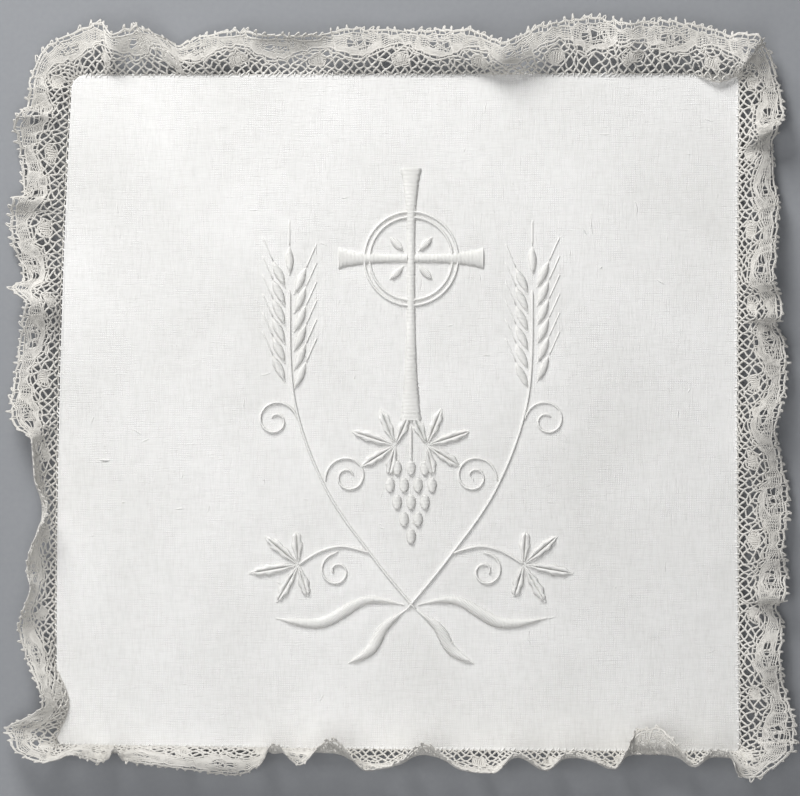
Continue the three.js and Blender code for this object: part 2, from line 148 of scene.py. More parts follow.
@dataclass(frozen=True)
class LinenFinish:
    """Bleached plain-weave linen, starched and ironed.

    The eye gets a flat matt white with a fine grid of threads, their gaps darkened with painted shade,
    and here and there a thicker slub that runs a few millimetres along one thread.
    """

    name: str = "bleached_starched_linen"
    light: str = "#FAF9F7"
    shade: str = "#DFDEDA"
    thread_pitch_mm: float = 0.5
    wander_mm: float = 4.0
    wander_by_mm: float = 0.9
    uneven_mm: float = 5.0
    uneven_range: tuple[float, float] = (0.38, 0.62)
    slack: tuple[float, float] = (0.2, 0.85)
    slub_across_mm: float = 0.42
    slub_along_mm: float = 3.2
    slub_range: tuple[float, float] = (0.42, 0.8)
    slub_weights: tuple[float, float] = (1.0, 0.7)
    slub_starts: tuple[tuple[float, float, float], ...] = ((0.0, 3.0, 0.0), (7.0, 0.0, 0.0))
    slub_height: float = 0.6
    mottle_mm: float = 30.0
    # Painted shade: how much darker the weave's gaps are than its crests
    weave_gap_shade: float = -0.5
    slub_tone: float = 0.26
    tone_range: tuple[float, float] = (0.2, 1.1)
    relief_mm: float = 0.12
    bump: float = 0.6
    roughness: float = 0.82
    specular: float = 0.25
    sheen: float = 0.12

    def material(self) -> bpy.types.Material:
        """Builds the linen's material, its threads drawn a little coarser than real so that they show.

        Returns:
            The material.
        """
        material, tree, _ = new_material(self.name)
        place = add_node(tree, "TexCoord").outputs["Object"]
        wander = add_node(tree, "TexNoise", {}, {"Vector": place, "Scale": 1 / (self.wander_mm * MM),
                                                 "Detail": 2.0}).outputs["Color"]
        sway = self.wander_by_mm * MM
        bend = add_node(tree, "VectorMath", {"operation": "MULTIPLY_ADD"},
                        {0: wander, 1: (sway, sway, 0.0), 2: place}).outputs[0]
        threads = [add_node(tree, "TexWave", {"bands_direction": way, "wave_profile": "SIN"},
                            {"Vector": bend, "Scale": WAVE_PERIOD / (self.thread_pitch_mm * MM),
                             "Distortion": 0.0}).outputs["Fac"]
                   for way in ("X", "Y")]
        slubs = []
        for across, (weight, begin) in enumerate(zip(self.slub_weights, self.slub_starts)):
            stretch = [1 / (self.slub_along_mm * MM)] * 3
            stretch[across] = 1 / (self.slub_across_mm * MM)
            mapped = add_node(tree, "Mapping", {}, {"Vector": place, "Scale": stretch, "Location": begin})
            grain = add_node(tree, "TexNoise", {}, {"Vector": mapped.outputs[0], "Scale": 1.0, "Detail": 3.0})
            slubs.append(add_node(tree, "MapRange", {}, {"Value": grain.outputs["Fac"],
                                                         "From Min": self.slub_range[0],
                                                         "From Max": self.slub_range[1],
                                                         "To Max": weight}).outputs[0])
        weave = add_node(tree, "Math", {"operation": "MULTIPLY"}, {0: threads[0], 1: threads[1]}).outputs[0]
        streak = add_node(tree, "Math", {"operation": "ADD"}, {0: slubs[0], 1: slubs[1]}).outputs[0]
        patch = add_node(tree, "TexNoise", {}, {"Vector": place, "Scale": 1 / (self.uneven_mm * MM),
                                                "Detail": 3.0}).outputs["Fac"]
        slack = add_node(tree, "MapRange", {}, {"Value": patch, "From Min": self.uneven_range[0],
                                                "From Max": self.uneven_range[1], "To Min": self.slack[0],
                                                "To Max": self.slack[1]}).outputs[0]
        uneven = add_node(tree, "Math", {"operation": "MULTIPLY"}, {0: weave, 1: slack}).outputs[0]
        height = add_node(tree, "Math", {"operation": "MULTIPLY_ADD"},
                          {0: streak, 1: self.slub_height, 2: uneven}).outputs[0]
        mottle = add_node(tree, "TexNoise", {}, {"Vector": place, "Scale": 1 / (self.mottle_mm * MM),
                                                 "Detail": 4.0}).outputs["Fac"]
        # Painted shade: the weave's gaps come out darker and its crests lighter, over the random mottle
        mottle_and_gap_shade = add_node(tree, "Math", {"operation": "MULTIPLY_ADD"},
                       {0: uneven, 1: self.weave_gap_shade, 2: mottle}).outputs[0]
        tone = add_node(tree, "Math", {"operation": "MULTIPLY_ADD"},
                        {0: streak, 1: self.slub_tone, 2: mottle_and_gap_shade}).outputs[0]
        finish_yarn(self, tree, tone, height)
        return material


@dataclass(frozen=True)
class ThreadFinish:
    """Spun white thread.

    The eye gets a soft white line with a faint fibrous grain and, on the smoother embroidery cotton,
    a low silky light along the stitch.
    """

    name: str
    light: str
    shade: str
    roughness: float
    rough_spread: float = 0.08
    fibre_mm: float = 0.14
    fibre_tone: float = 0.5
    tint_mm: float = 9.0
    tone_range: tuple[float, float] = (0.45, 1.1)
    relief_mm: float = 0.05
    bump: float = 0.35
    specular: float = 0.35
    sheen: float = 0.15

    def material(self) -> bpy.types.Material:
        """Builds the thread's material from fibre grain and a slow change of tone.

        Returns:
            The material.
        """
        material, tree, shader = new_material(self.name)
        place = add_node(tree, "TexCoord").outputs["Object"]
        fibre = add_node(tree, "TexNoise", {}, {"Vector": place, "Scale": 1 / (self.fibre_mm * MM),
                                                "Detail": 2.0}).outputs["Fac"]
        tint = add_node(tree, "TexNoise", {}, {"Vector": place, "Scale": 1 / (self.tint_mm * MM),
                                               "Detail": 3.0}).outputs["Fac"]
        tone = add_node(tree, "Math", {"operation": "MULTIPLY_ADD"},
                        {0: fibre, 1: self.fibre_tone, 2: tint}).outputs[0]
        finish_yarn(self, tree, tone, fibre)
        rough = add_node(tree, "MapRange", {}, {"Value": fibre, "To Min": self.roughness - self.rough_spread,
                                                "To Max": self.roughness + self.rough_spread}).outputs[0]
        tree.links.new(rough, shader.inputs["Roughness"])
        return material


@dataclass(frozen=True)
class PaperFinish:
    """Matt studio paper, an even pale grey with a barely visible tooth."""

    name: str = "matt_studio_paper"
    light: str = "#999B9E"
    shade: str = "#919397"
    tooth_mm: float = 1.2
    roughness: float = 0.9

    def material(self) -> bpy.types.Material:
        """Builds the paper's material.

        Returns:
            The material.
        """
        material, tree, shader = new_material(self.name)
        place = add_node(tree, "TexCoord").outputs["Object"]
        tooth = add_node(tree, "TexNoise", {}, {"Vector": place, "Scale": 1 / (self.tooth_mm * MM),
                                                "Detail": 5.0}).outputs["Fac"]
        colour = add_node(tree, "Mix", {"data_type": "RGBA"},
                          {"Factor": tooth, 6: linear(self.light), 7: linear(self.shade)}).outputs[2]
        tree.links.new(colour, shader.inputs["Base Color"])
        shader.inputs["Roughness"].default_value = self.roughness
        return material


LINEN = LinenFinish()
LACE_THREAD = ThreadFinish("bleached_lace_cotton", "#E6E3DD", "#CFCCC5", 0.76)
STITCH_THREAD = ThreadFinish("white_embroidery_cotton", "#F8F7F4", "#EAE9E5", 0.5)


# Shared shapes

# Turns points of a bundle into places in mm and the directions that count as up there
Placing = Callable[[np.ndarray], tuple[np.ndarray, np.ndarray]]


def unit(ways: np.ndarray) -> np.ndarray:
    """Scales every row to a length of 1."""
    return ways / np.maximum(np.linalg.norm(ways, axis=1), TINY)[:, None]


def run_along(line: np.ndarray) -> np.ndarray:
    """Distances along a line of points, from its first one."""
    return np.concatenate(([0.0], np.cumsum(np.linalg.norm(np.diff(line, axis=0), axis=1))))


def read_off(at: np.ndarray, run: np.ndarray, columns: np.ndarray) -> np.ndarray:
    """Reads every column of a line at distances along it."""
    return np.stack([np.interp(at, run, column) for column in columns.T], 1)


def cubic(here: np.ndarray, there: np.ndarray, leave: np.ndarray, arrive: np.ndarray,
          share: np.ndarray) -> np.ndarray:
    """Draws smooth curves from points to the next ones.

    Args:
        here: where each curve starts.
        there: where it ends.
        leave: its slope at the start.
        arrive: its slope at the end.
        share: shares of the way from start to end.

    Returns:
        Points of the curves at those shares.
    """
    s2, s3 = share ** 2, share ** 3
    ends = here * (2 * s3 - 3 * s2 + 1) + there * (3 * s2 - 2 * s3)
    return ends + leave * (s3 - 2 * s2 + share) + arrive * (s3 - s2)


def lie_flat(points: np.ndarray) -> tuple[np.ndarray, np.ndarray]:
    """Leaves points where they are, with +Z as up."""
    return points, np.tile((0.0, 0.0, 1.0), (len(points), 1))


def link_object(name: str, data: bpy.types.ID) -> bpy.types.Object:
    """Makes an object from its data and links it to the scene.

    Args:
        name: the object's name.
        data: its mesh, light or camera.

    Returns:
        The object.
    """
    thing = bpy.data.objects.new(name, data)
    bpy.context.scene.collection.objects.link(thing)
    return thing


def mesh_object(name: str, shape: bmesh.types.BMesh) -> bpy.types.Object:
    """Turns a finished bmesh into an object and frees it.

    Args:
        name: the object's name.
        shape: the bmesh, in metres.

    Returns:
        The object, linked to the scene.
    """
    mesh = bpy.data.meshes.new(name)
    shape.to_mesh(mesh)
    shape.free()
    return link_object(name, mesh)


@dataclass(frozen=True)
class Corner:
    """A corner of the linen square, its rounding, and the bow of the side that starts there, in mm."""

    x: float
    y: float
    rounding: float
    bow: float


@dataclass
class PanelOutline:
    """The linen square's outline, a little out of true, walked clockwise from its top left corner."""

    corners: tuple[Corner, ...] = (
        Corner(-73.3, 74.8, 3.0, 0.1),
        Corner(74.9, 75.0, 1.2, -0.4),
        Corner(75.1, -75.6, 1.2, 0.3),
        Corner(-76.7, -74.1, 1.6, 1.2),
    )
    curve_samples: int = 160
    least_rounding: float = 0.05

    def __post_init__(self) -> None:
        """Walks the four bowed sides and their rounded corners once, with distances along them."""
        spots = np.array([(c.x, c.y) for c in self.corners])
        share = np.linspace(0, 1, self.curve_samples, endpoint=False)[:, None]
        walked, marks = [], []
        for i, corner in enumerate(self.corners):
            here, end, beyond = spots[i], spots[(i + 1) % 4], spots[(i + 2) % 4]
            turn = self.corners[(i + 1) % 4].rounding
            along = (end - here) / np.linalg.norm(end - here)
            onwards = (beyond - end) / np.linalg.norm(beyond - end)
            start, stop, after = here + along * corner.rounding, end - along * turn, end + onwards * turn
            outward = np.array((-along[1], along[0]))
            middle = (start + stop) / 2 + outward * 2 * corner.bow
            for a, b, c in ((start, middle, stop), (stop, end, after)):
                marks.append(sum(map(len, walked)))
                walked.append((1 - share) ** 2 * a + 2 * share * (1 - share) * b + share ** 2 * c)
        points = np.concatenate(walked)
        self.points = np.vstack((points, points[:1]))
        self.distance = run_along(self.points)
        self.total = float(self.distance[-1])
        way = unit(np.roll(points, -1, axis=0) - np.roll(points, 1, axis=0))
        self.way = np.vstack((way, way[:1]))
        turns = [(self.distance[marks[2 * i + 1]] + self.distance[(marks + [len(points)])[2 * i + 2]]) / 2
                 for i in range(4)]
        self.corner_at = [turns[3] - self.total, *turns[:3]]

    def at(self, seam: np.ndarray) -> tuple[np.ndarray, np.ndarray, np.ndarray]:
        """Finds places along the outline.

        Args:
            seam: distances from the outline's start, in mm, any number of times round.

        Returns:
            Points, unit directions onwards and unit directions outwards, each of two columns.
        """
        wrapped = np.mod(seam, self.total)
        foot = read_off(wrapped, self.distance, self.points)
        way = unit(read_off(wrapped, self.distance, self.way))
        return foot, way, np.stack((-way[:, 1], way[:, 0]), 1)

    def inside(self, u: np.ndarray, v: np.ndarray, inset: float) -> np.ndarray:
        """Maps a unit square onto the linen square, with its bows and rounded corners.

        Args:
            u: shares from left to right.
            v: shares from bottom to top.
            inset: how far the mapped square's rim lies inside the outline, in mm.

        Returns:
            Points of two columns, in mm.
        """
        top_left, top_right, low_right, low_left = self.corners
        side = top_right.x - top_left.x
        u, v = u.copy(), v.copy()
        turns = ((top_left, 0, 1), (top_right, 1, 1), (low_right, 1, 0), (low_left, 0, 0))
        for corner, right, upper in turns:
            radius = max(corner.rounding - inset, self.least_rounding) / side
            a = (1 - u) if right else u
            b = (1 - v) if upper else v
            near = (a < radius) & (b < radius)
            q = np.stack((radius - a[near], radius - b[near]), 1)
            q *= (q.max(1) / np.maximum(np.linalg.norm(q, axis=1), TINY))[:, None]
            u[near] = 1 - (radius - q[:, 0]) if right else radius - q[:, 0]
            v[near] = 1 - (radius - q[:, 1]) if upper else radius - q[:, 1]
        x = (1 - v) * ((1 - u) * (low_left.x + inset) + u * (low_right.x - inset))
        x += v * ((1 - u) * (top_left.x + inset) + u * (top_right.x - inset))
        y = (1 - v) * ((1 - u) * (low_left.y + inset) + u * (low_right.y + inset))
        y += v * ((1 - u) * (top_left.y - inset) + u * (top_right.y - inset))
        x += 4 * v * (1 - v) * (u * top_right.bow - (1 - u) * low_left.bow)
        y += 4 * u * (1 - u) * (v * top_left.bow - (1 - v) * low_right.bow)
        return np.stack((x, y), 1)


@dataclass
class ThreadBundle:
    """Many threads, each a line of points, that become one joined mesh of four-sided tubes."""

    points: list[np.ndarray] = field(default_factory=list)
    radius: list[np.ndarray] = field(default_factory=list)
    squash: list[np.ndarray] = field(default_factory=list)
    turn: list[np.ndarray] = field(default_factory=list)

    def add(self, points: np.ndarray, radius: float, squash: float = 1.0, turns_per_mm: float = 0.0,
            taper: np.ndarray | None = None) -> None:
        """Adds one thread.

        Args:
            points: three columns along the thread, in mm.
            radius: the thread's half width, in mm.
            squash: its thickness over its width, under 1 for a flat pair of threads.
            turns_per_mm: how fast the flat pair twists.
            taper: shares of the radius at each point, or none for an even thread.
        """
        count = len(points)
        self.points.append(np.asarray(points, float))
        self.radius.append(radius * (np.ones(count) if taper is None else taper))
        self.squash.append(np.full(count, squash))
        self.turn.append(math.tau * turns_per_mm * run_along(points))

    def shifted(self, along: float) -> "ThreadBundle":
        """Copies the bundle further along its first column.

        Args:
            along: how far, in mm.

        Returns:
            The copy.
        """
        move = np.array((along, 0.0, 0.0))
        moved = [points + move for points in self.points]
        return ThreadBundle(moved, list(self.radius), list(self.squash), list(self.turn))

    def extend(self, other: "ThreadBundle") -> None:
        """Takes in the threads of another bundle.

        Args:
            other: the bundle to take in.
        """
        self.points += other.points
        self.radius += other.radius
        self.squash += other.squash
        self.turn += other.turn

    def build(self, name: str, place: Placing) -> bpy.types.Object:
        """Sweeps every thread into one mesh object.

        Args:
            name: the object's name.
            place: where the bundle's points go.

        Returns:
            The object, linked to the scene.
        """
        sizes = np.array([len(p) for p in self.points])
        starts = np.concatenate(([0], np.cumsum(sizes)))
        spots, ups = place(np.concatenate(self.points))
        count = len(spots)
        first, last = np.zeros(count, bool), np.zeros(count, bool)
        first[starts[:-1]] = True
        last[starts[1:] - 1] = True
        index = np.arange(count)
        way = unit(spots[np.where(last, index, index + 1) % count] - spots[np.where(first, index, index - 1)])
        across = unit(np.cross(way, ups))
        over = np.cross(across, way)
        turn, radius = np.concatenate(self.turn)[:, None], np.concatenate(self.radius)[:, None]
        thin = radius * np.concatenate(self.squash)[:, None]
        wide_way = np.cos(turn) * across + np.sin(turn) * over
        thin_way = np.cos(turn) * over - np.sin(turn) * across
        ring = [spots + math.cos(a) * radius * wide_way + math.sin(a) * thin * thin_way
                for a in (0.0, math.pi / 2, math.pi, 1.5 * math.pi)]
        vertices = np.stack(ring, 1).reshape(-1, 3) * MM
        base = 4 * index[~last]
        walls = [np.stack((base + k, base + 4 + k, base + 4 + (k + 1) % 4, base + (k + 1) % 4), 1)
                 for k in range(4)]
        corners = np.arange(4)
        caps = [4 * index[first][:, None] + corners, 4 * index[last][:, None] + corners[::-1]]
        return quad_object(name, vertices, np.concatenate((*walls, *caps)), 2 * len(caps[0]))


def quad_object(name: str, vertices: np.ndarray, quads: np.ndarray, flat: int = 0) -> bpy.types.Object:
    """Makes a smooth mesh object from arrays.

    Args:
        name: the object's name.
        vertices: three columns, in metres.
        quads: four columns of vertex numbers.
        flat: how many of the last faces are shaded flat, such as the ends of threads.

    Returns:
        The object, linked to the scene.
    """
    mesh = bpy.data.meshes.new(name)
    mesh.vertices.add(len(vertices))
    mesh.vertices.foreach_set("co", vertices.astype(np.float32).ravel())
    mesh.loops.add(quads.size)
    mesh.loops.foreach_set("vertex_index", quads.astype(np.int32).ravel())
    mesh.polygons.add(len(quads))
    mesh.polygons.foreach_set("loop_start", np.arange(0, quads.size, 4, dtype=np.int32))
    mesh.update(calc_edges=True)
    mesh.polygons.foreach_set("use_smooth", np.arange(len(quads)) < len(quads) - flat)
    return link_object(name, mesh)


def dress(piece: bpy.types.Object, material: bpy.types.Material) -> None:
    """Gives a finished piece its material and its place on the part.

    Args:
        piece: the mesh object.
        material: its finish.
    """
    piece.data.materials.clear()
    piece.data.materials.append(material)
    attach(piece, "root")
    log.info("%s: %d faces", piece.name, len(piece.data.polygons))


# Lace edging

# Folds of the lace, a row for each, walked clockwise along the sides: seam distance past the corner where
# the side starts, reach and lift of the picot edge from the seam, degrees that the strip leans onwards, and
# degrees that it arches, up over its chord where positive and outwards where negative
FOLDS: dict[Side, tuple[tuple[float, float, float, float, float], ...]] = {
    Side.TOP: (
        (-1.8, 9.6, 0.6, 4, 15),
        (-0.6, 9.8, 0.8, 0, 15),
        (0.6, 9.6, 1.0, 0, 16),
        (1.6, 10.0, 1.0, 0, 16),
        (3.0, 11.4, 1.0, -4, 14),
        (6.0, 12.3, 0.8, 0, 15),
        (8.5, 9.4, 4.0, 2, 25),
        (12.5, 10.9, 3.2, 4, 12),
        (18.0, 11.6, 3.4, -20, 8),
        (23.6, 14.7, 3.0, -42, 5),
        (24.6, 7.0, -0.5, -14, 40),
        (29.5, 9.3, 0.2, 0, 40),
        (37.5, 10.4, 1.2, 0, 5),
        (42.0, 9.2, 2.8, 0, -18),
        (51.5, 9.0, 3.0, 0, -18),
        (61.5, 10.6, 0.6, 0, 30),
        (70.0, 10.5, -0.4, 0, 30),
        (79.0, 10.2, 0.8, 0, 30),
        (87.0, 10.3, 2.2, 0, 30),
        (94.5, 7.2, 4.8, 6, 55),
        (103.0, 10.6, 2.2, -4, 40),
        (110.0, 12.8, 0.2, -2, 20),
        (116.5, 13.4, -0.5, 0, 15),
        (123.0, 11.7, 1.6, 0, 30),
        (127.0, 12.5, 0.4, 0, 22),
        (134.0, 12.1, 1.0, 0, 25),
        (141.0, 10.7, 1.2, 0, 24),
        (145.5, 9.0, 2.0, 0, 30),
    ),
    Side.RIGHT: (
        (-0.7, 9.2, 3.6, 2, 34),
        (-0.2, 9.6, 4.8, 0, 34),
        (0.05, 9.2, 1.0, -6, 28),
        (0.5, 8.7, 0.2, -2, 26),
        (5.0, 10.0, 0.4, 0, 26),
        (10.5, 9.9, 3.4, -6, 30),
        (15.5, 9.8, 4.4, -26, 30),
        (18.5, 8.6, -0.4, -22, 40),
        (23.5, 8.2, -0.4, -2, 40),
        (28.5, 9.3, 0.8, 0, 35),
        (37.0, 8.7, 2.0, 0, 40),
        (45.5, 7.9, 3.8, 0, 50),
        (50.0, 9.9, 2.0, 0, 35),
        (53.5, 10.1, 3.4, 2, 30),
        (55.5, 8.8, 0.2, 0, 35),
        (59.0, 10.8, -0.4, 0, 30),
        (63.0, 11.3, 0.8, 0, 25),
        (69.5, 11.0, 1.4, 0, 25),
        (75.5, 9.0, 3.6, 2, 40),
        (79.5, 8.4, 2.8, 0, 45),
        (85.0, 9.9, 0.8, 0, 35),
        (93.0, 11.7, -0.4, 0, 22),
        (98.0, 11.4, 0.6, 0, 22),
        (105.5, 10.4, 1.8, 0, 30),
        (111.0, 11.1, 0.4, 0, 28),
        (115.5, 10.5, 3.4, 4, 28),
        (118.0, 8.7, 0.0, 2, 38),
        (122.5, 10.3, -0.4, 0, 30),
        (129.5, 9.3, 2.2, 0, 38),
        (136.5, 10.4, 1.2, 0, 30),
        (141.5, 12.2, 2.0, 4, 25),
        (147.0, 12.5, 2.8, 4, 25),
    ),
    Side.BOTTOM: (
        (-0.6, 11.8, 3.4, -10, 30),
        (-0.1, 8.6, 4.2, -16, 38),
        (0.5, 6.4, 5.6, -8, 36),
        (1.6, 2.2, 8.4, 0, 0),
        (3.0, -0.8, 9.0, 0, -30),
        (6.4, -1.4, 9.0, 0, -34),
        (10.4, 2.2, 7.4, 0, -50),
        (14.4, -2.6, 6.6, 0, -56),
        (18.5, -5.8, 3.8, 0, -86),
        (23.0, -5.2, 4.2, 0, -82),
        (25.5, -1.0, 8.4, 0, -36),
        (28.0, 3.0, 7.2, 0, -50),
        (33.0, 1.2, 8.8, 0, -25),
        (38.5, -0.6, 8.8, 0, -34),
        (43.0, 3.6, 7.4, 0, -48),
        (49.5, -0.4, 9.0, 0, -32),
        (55.0, 4.5, 7.0, 0, -42),
        (61.5, 3.6, 7.4, 0, -46),
        (70.0, -2.4, 8.2, 0, -42),
        (75.5, 1.8, 8.4, 0, -45),
        (82.5, 4.0, 7.2, 0, -45),
        (90.4, -3.3, 7.8, 0, -50),
        (97.5, 3.1, 6.4, 0, 25),
        (103.0, -2.0, 8.6, 0, -40),
        (106.5, 3.8, 3.6, 0, 46),
        (112.0, 6.0, 1.8, 0, 70),
        (121.0, 5.1, 2.4, 0, 64),
        (131.0, 3.8, 3.4, 0, 48),
        (136.0, 2.9, 6.6, 0, 15),
        (138.0, -0.6, 9.2, 0, -32),
        (139.8, 2.6, 6.6, 0, 15),
        (142.0, 3.6, 3.6, 0, 44),
        (147.5, 1.4, 8.2, 0, 0),
    ),
    Side.LEFT: (
        (-0.6, 2.6, 8.6, 0, -25),
        (0.0, 6.4, 7.4, 16, 5),
        (0.7, 10.4, 3.2, 10, 25),
        (3.2, 11.4, 1.4, 0, 38),
        (5.6, 7.6, 3.6, 0, 48),
        (8.8, 2.6, 5.6, 0, 26),
        (12.5, 3.4, 5.6, 0, 32),
        (19.0, 6.2, 3.6, 0, 38),
        (26.0, 8.2, 4.6, 0, -20),
        (30.5, 6.8, 5.6, 0, -32),
        (34.5, 5.2, 6.6, 0, -42),
        (39.0, 6.2, 5.0, 0, -30),
        (44.0, 5.2, 5.6, 0, -38),
        (52.0, 1.2, 7.8, 0, -58),
        (59.0, 4.3, 7.0, 0, -48),
        (67.0, 5.2, 6.6, -4, -42),
        (69.5, 6.4, 5.6, -10, -10),
        (71.5, 9.8, 3.8, -4, 25),
        (74.5, 10.8, 2.0, 0, 25),
        (80.5, 10.4, 0.2, 0, 28),
        (87.0, 9.3, 0.8, 0, 35),
        (92.5, 8.6, 3.0, 0, 38),
        (97.0, 7.8, 4.8, 4, 42),
        (100.5, 11.6, 3.8, 2, 24),
        (103.5, 8.8, 0.2, -4, 38),
        (107.0, 10.0, -0.4, 0, 32),
        (111.0, 11.9, 0.4, 0, 22),
        (116.5, 12.7, 0.6, 0, 18),
        (120.0, 12.0, 2.8, 2, 22),
        (122.5, 9.8, -0.2, -4, 32),
        (129.0, 10.6, -0.2, 0, 30),
        (136.0, 12.3, 1.6, 0, 20),
        (139.0, 11.4, 3.2, 2, 25),
        (141.5, 9.9, 0.2, -2, 32),
        (145.0, 9.6, 0.8, 0, 32),
    ),
}


@dataclass
class FrillSurface:
    """The middle of the gathered strip: a ring of arched sections, set out fold by fold.

    The footing's heights and gaps at the linen's edge have one value a side. In a few places, its tucks, it
    bulges in over the edge: side, distance past the corner, half length and depth.
    """

    outline: PanelOutline
    flat_width: float = 12.6
    inner_stretch: float = 0.86
    seam_heights: tuple[float, ...] = (2.3, 2.2, 2.2, 1.6)
    seam_gaps: tuple[float, ...] = (-0.35, -0.25, -0.3, 0.05)
    turn_length: float = 4.0
    half_solid: float = 0.3
    flattest_bow: float = 0.02
    lowest: float = 0.2
    samples_per_fold: int = 24
    length_share: float = 0.6
    least_gather: float = 0.85
    probe: float = 0.05
    thread_room: float = 0.1
    ripple: float = 0.22
    ripple_count: int = 6
    ripple_along: tuple[float, float] = (0.5, 1.2)
    ripple_across: float = 0.5
    tucks: tuple[tuple[Side, float, float, float], ...] = (
        (Side.TOP, 143.0, 5.4, 1.9),
        (Side.LEFT, 9.0, 9.0, 3.1),
    )
    tuck_rise: float = 1.1
    tuck_fullness: float = 1.5

    def __post_init__(self) -> None:
        """Samples the folds densely and measures the strip's own length along them."""
        starts = np.array(self.outline.corner_at)
        ends = np.append(starts[1:], starts[0] + self.outline.total)
        self.knots = np.concatenate((starts + self.turn_length, ends - self.turn_length))
        rows = np.array([(self.outline.corner_at[side.value] + row[0], *row[1:])
                         for side in Side for row in FOLDS[side]])
        rows[:, 3:] = np.radians(rows[:, 3:])
        lap = np.array((self.outline.total, 0, 0, 0, 0))
        padded = np.vstack((rows[-1] - lap, rows, rows[0] + lap, rows[1] + lap))
        share = np.linspace(0, 1, self.samples_per_fold, endpoint=False)[None, :, None]
        before, here, there, after = (padded[k:k + len(rows), None] for k in range(4))
        leave, arrive = self.slope(here - before, there - here), self.slope(there - here, after - there)
        table = cubic(here, there, leave, arrive, share).reshape(-1, 5)
        self.table = np.vstack((table, table[:1] + lap))
        self.run = np.arange(len(self.table), dtype=float)
        steps = np.zeros(len(self.run) - 1)
        for share, least in ((self.length_share, 1.0), (0.0, self.least_gather)):
            line = self.sheet(self.run, np.full(len(self.run), share * self.flat_width))
            steps = np.maximum(steps, least * np.linalg.norm(np.diff(line, axis=0), axis=1))
        self.run = np.concatenate(([0.0], np.cumsum(steps)))
        self.length = float(self.run[-1])
        rng = np.random.default_rng(SEED)
        lean = self.ripple_across
        self.waves = [(rng.uniform(*self.ripple_along), rng.uniform(-lean, lean), rng.uniform(0, math.tau))
                      for _ in range(self.ripple_count)]

    @staticmethod
    def slope(a: np.ndarray, b: np.ndarray) -> np.ndarray:
        """Gives the slope between two steps that never passes either row."""
        both = np.where(a * b > 0, a + b, 1.0)
        return np.where(a * b > 0, 2 * a * b / both, 0.0)

    def by_side(self, values: tuple[float, ...], seam: np.ndarray) -> np.ndarray:
        """Gives a measure of the seam that has one value a side and passes smoothly round the corners."""
        return np.interp(seam, self.knots, np.tile(values, 2), period=self.outline.total)

    def sheet(self, s: np.ndarray, t: np.ndarray) -> np.ndarray:
        """Places points of the flat strip on its folds.

        Args:
            s: distances along the strip, in mm.
            t: distances from the seam towards the picots, in mm.

        Returns:
            Points of three columns, in mm.
        """
        wrapped = np.mod(s, self.run[-1]) if self.run[-1] else s
        seam, reach, lift, fan, bow = (np.interp(wrapped, self.run, column) for column in self.table.T)
        foot, way, out = self.outline.at(seam)
        lean = out * np.cos(fan)[:, None] + way * np.sin(fan)[:, None]
        chord, rise = np.hypot(reach, lift), np.arctan2(lift, reach)
        arch = np.where(np.abs(bow) < self.flattest_bow, self.flattest_bow, bow)
        share = np.clip(t / self.flat_width, 0, None) ** self.inner_stretch
        swing = arch * (1 - 2 * share)
        forth = chord * (np.sin(arch) - np.sin(swing)) / (2 * np.sin(arch))
        up = chord * (np.cos(swing) - np.cos(arch)) / (2 * np.sin(arch))
        clear = self.by_side(self.seam_gaps, seam) + self.half_solid * np.abs(np.sin(rise + arch))
        away = forth * np.cos(rise) - up * np.sin(rise)
        height = self.by_side(self.seam_heights, seam) + forth * np.sin(rise) + up * np.cos(rise)
        for side, middle, half, depth in self.tucks:
            off = np.clip(np.abs(seam - self.outline.corner_at[side.value] - middle) / half, 0, 1)
            pull = (np.cos(off * math.pi / 2) * np.clip(1 - share, 0, 1)) ** self.tuck_fullness
            clear = clear - depth * pull
            height = height + self.tuck_rise * np.sqrt(pull)
        flat = foot + out * clear[:, None] + lean * away[:, None]
        return np.column_stack((flat, height))

    def place(self, points: np.ndarray) -> tuple[np.ndarray, np.ndarray]:
        """Places threads of the flat lace on the folded strip.

        Args:
            points: columns along the strip, across it and off its face, in mm.

        Returns:
            Places in mm and the strip's normals there.
        """
        s, t, off = points.T
        here = self.sheet(s, t)
        along = self.sheet(s + self.probe, t) - here
        across = self.sheet(s, t + self.probe) - here
        normal = unit(np.cross(along, across))
        crinkle = sum(np.sin(a * s + b * t + c) for a, b, c in self.waves) / len(self.waves)
        swell = self.ripple * crinkle * np.clip(t / self.flat_width, 0, 1)
        spots = here + normal * (off + swell)[:, None]
        floor = self.lowest + np.clip(off, -self.thread_room, self.thread_room)
        spots[:, 2] = np.maximum(spots[:, 2], floor)
        return spots, normal


def on_face(s: np.ndarray, t: np.ndarray, off: float = 0.0) -> np.ndarray:
    """Stacks points of the flat lace: along the strip, across it and off its face."""
    return np.column_stack((s, t, 0 * s + off))


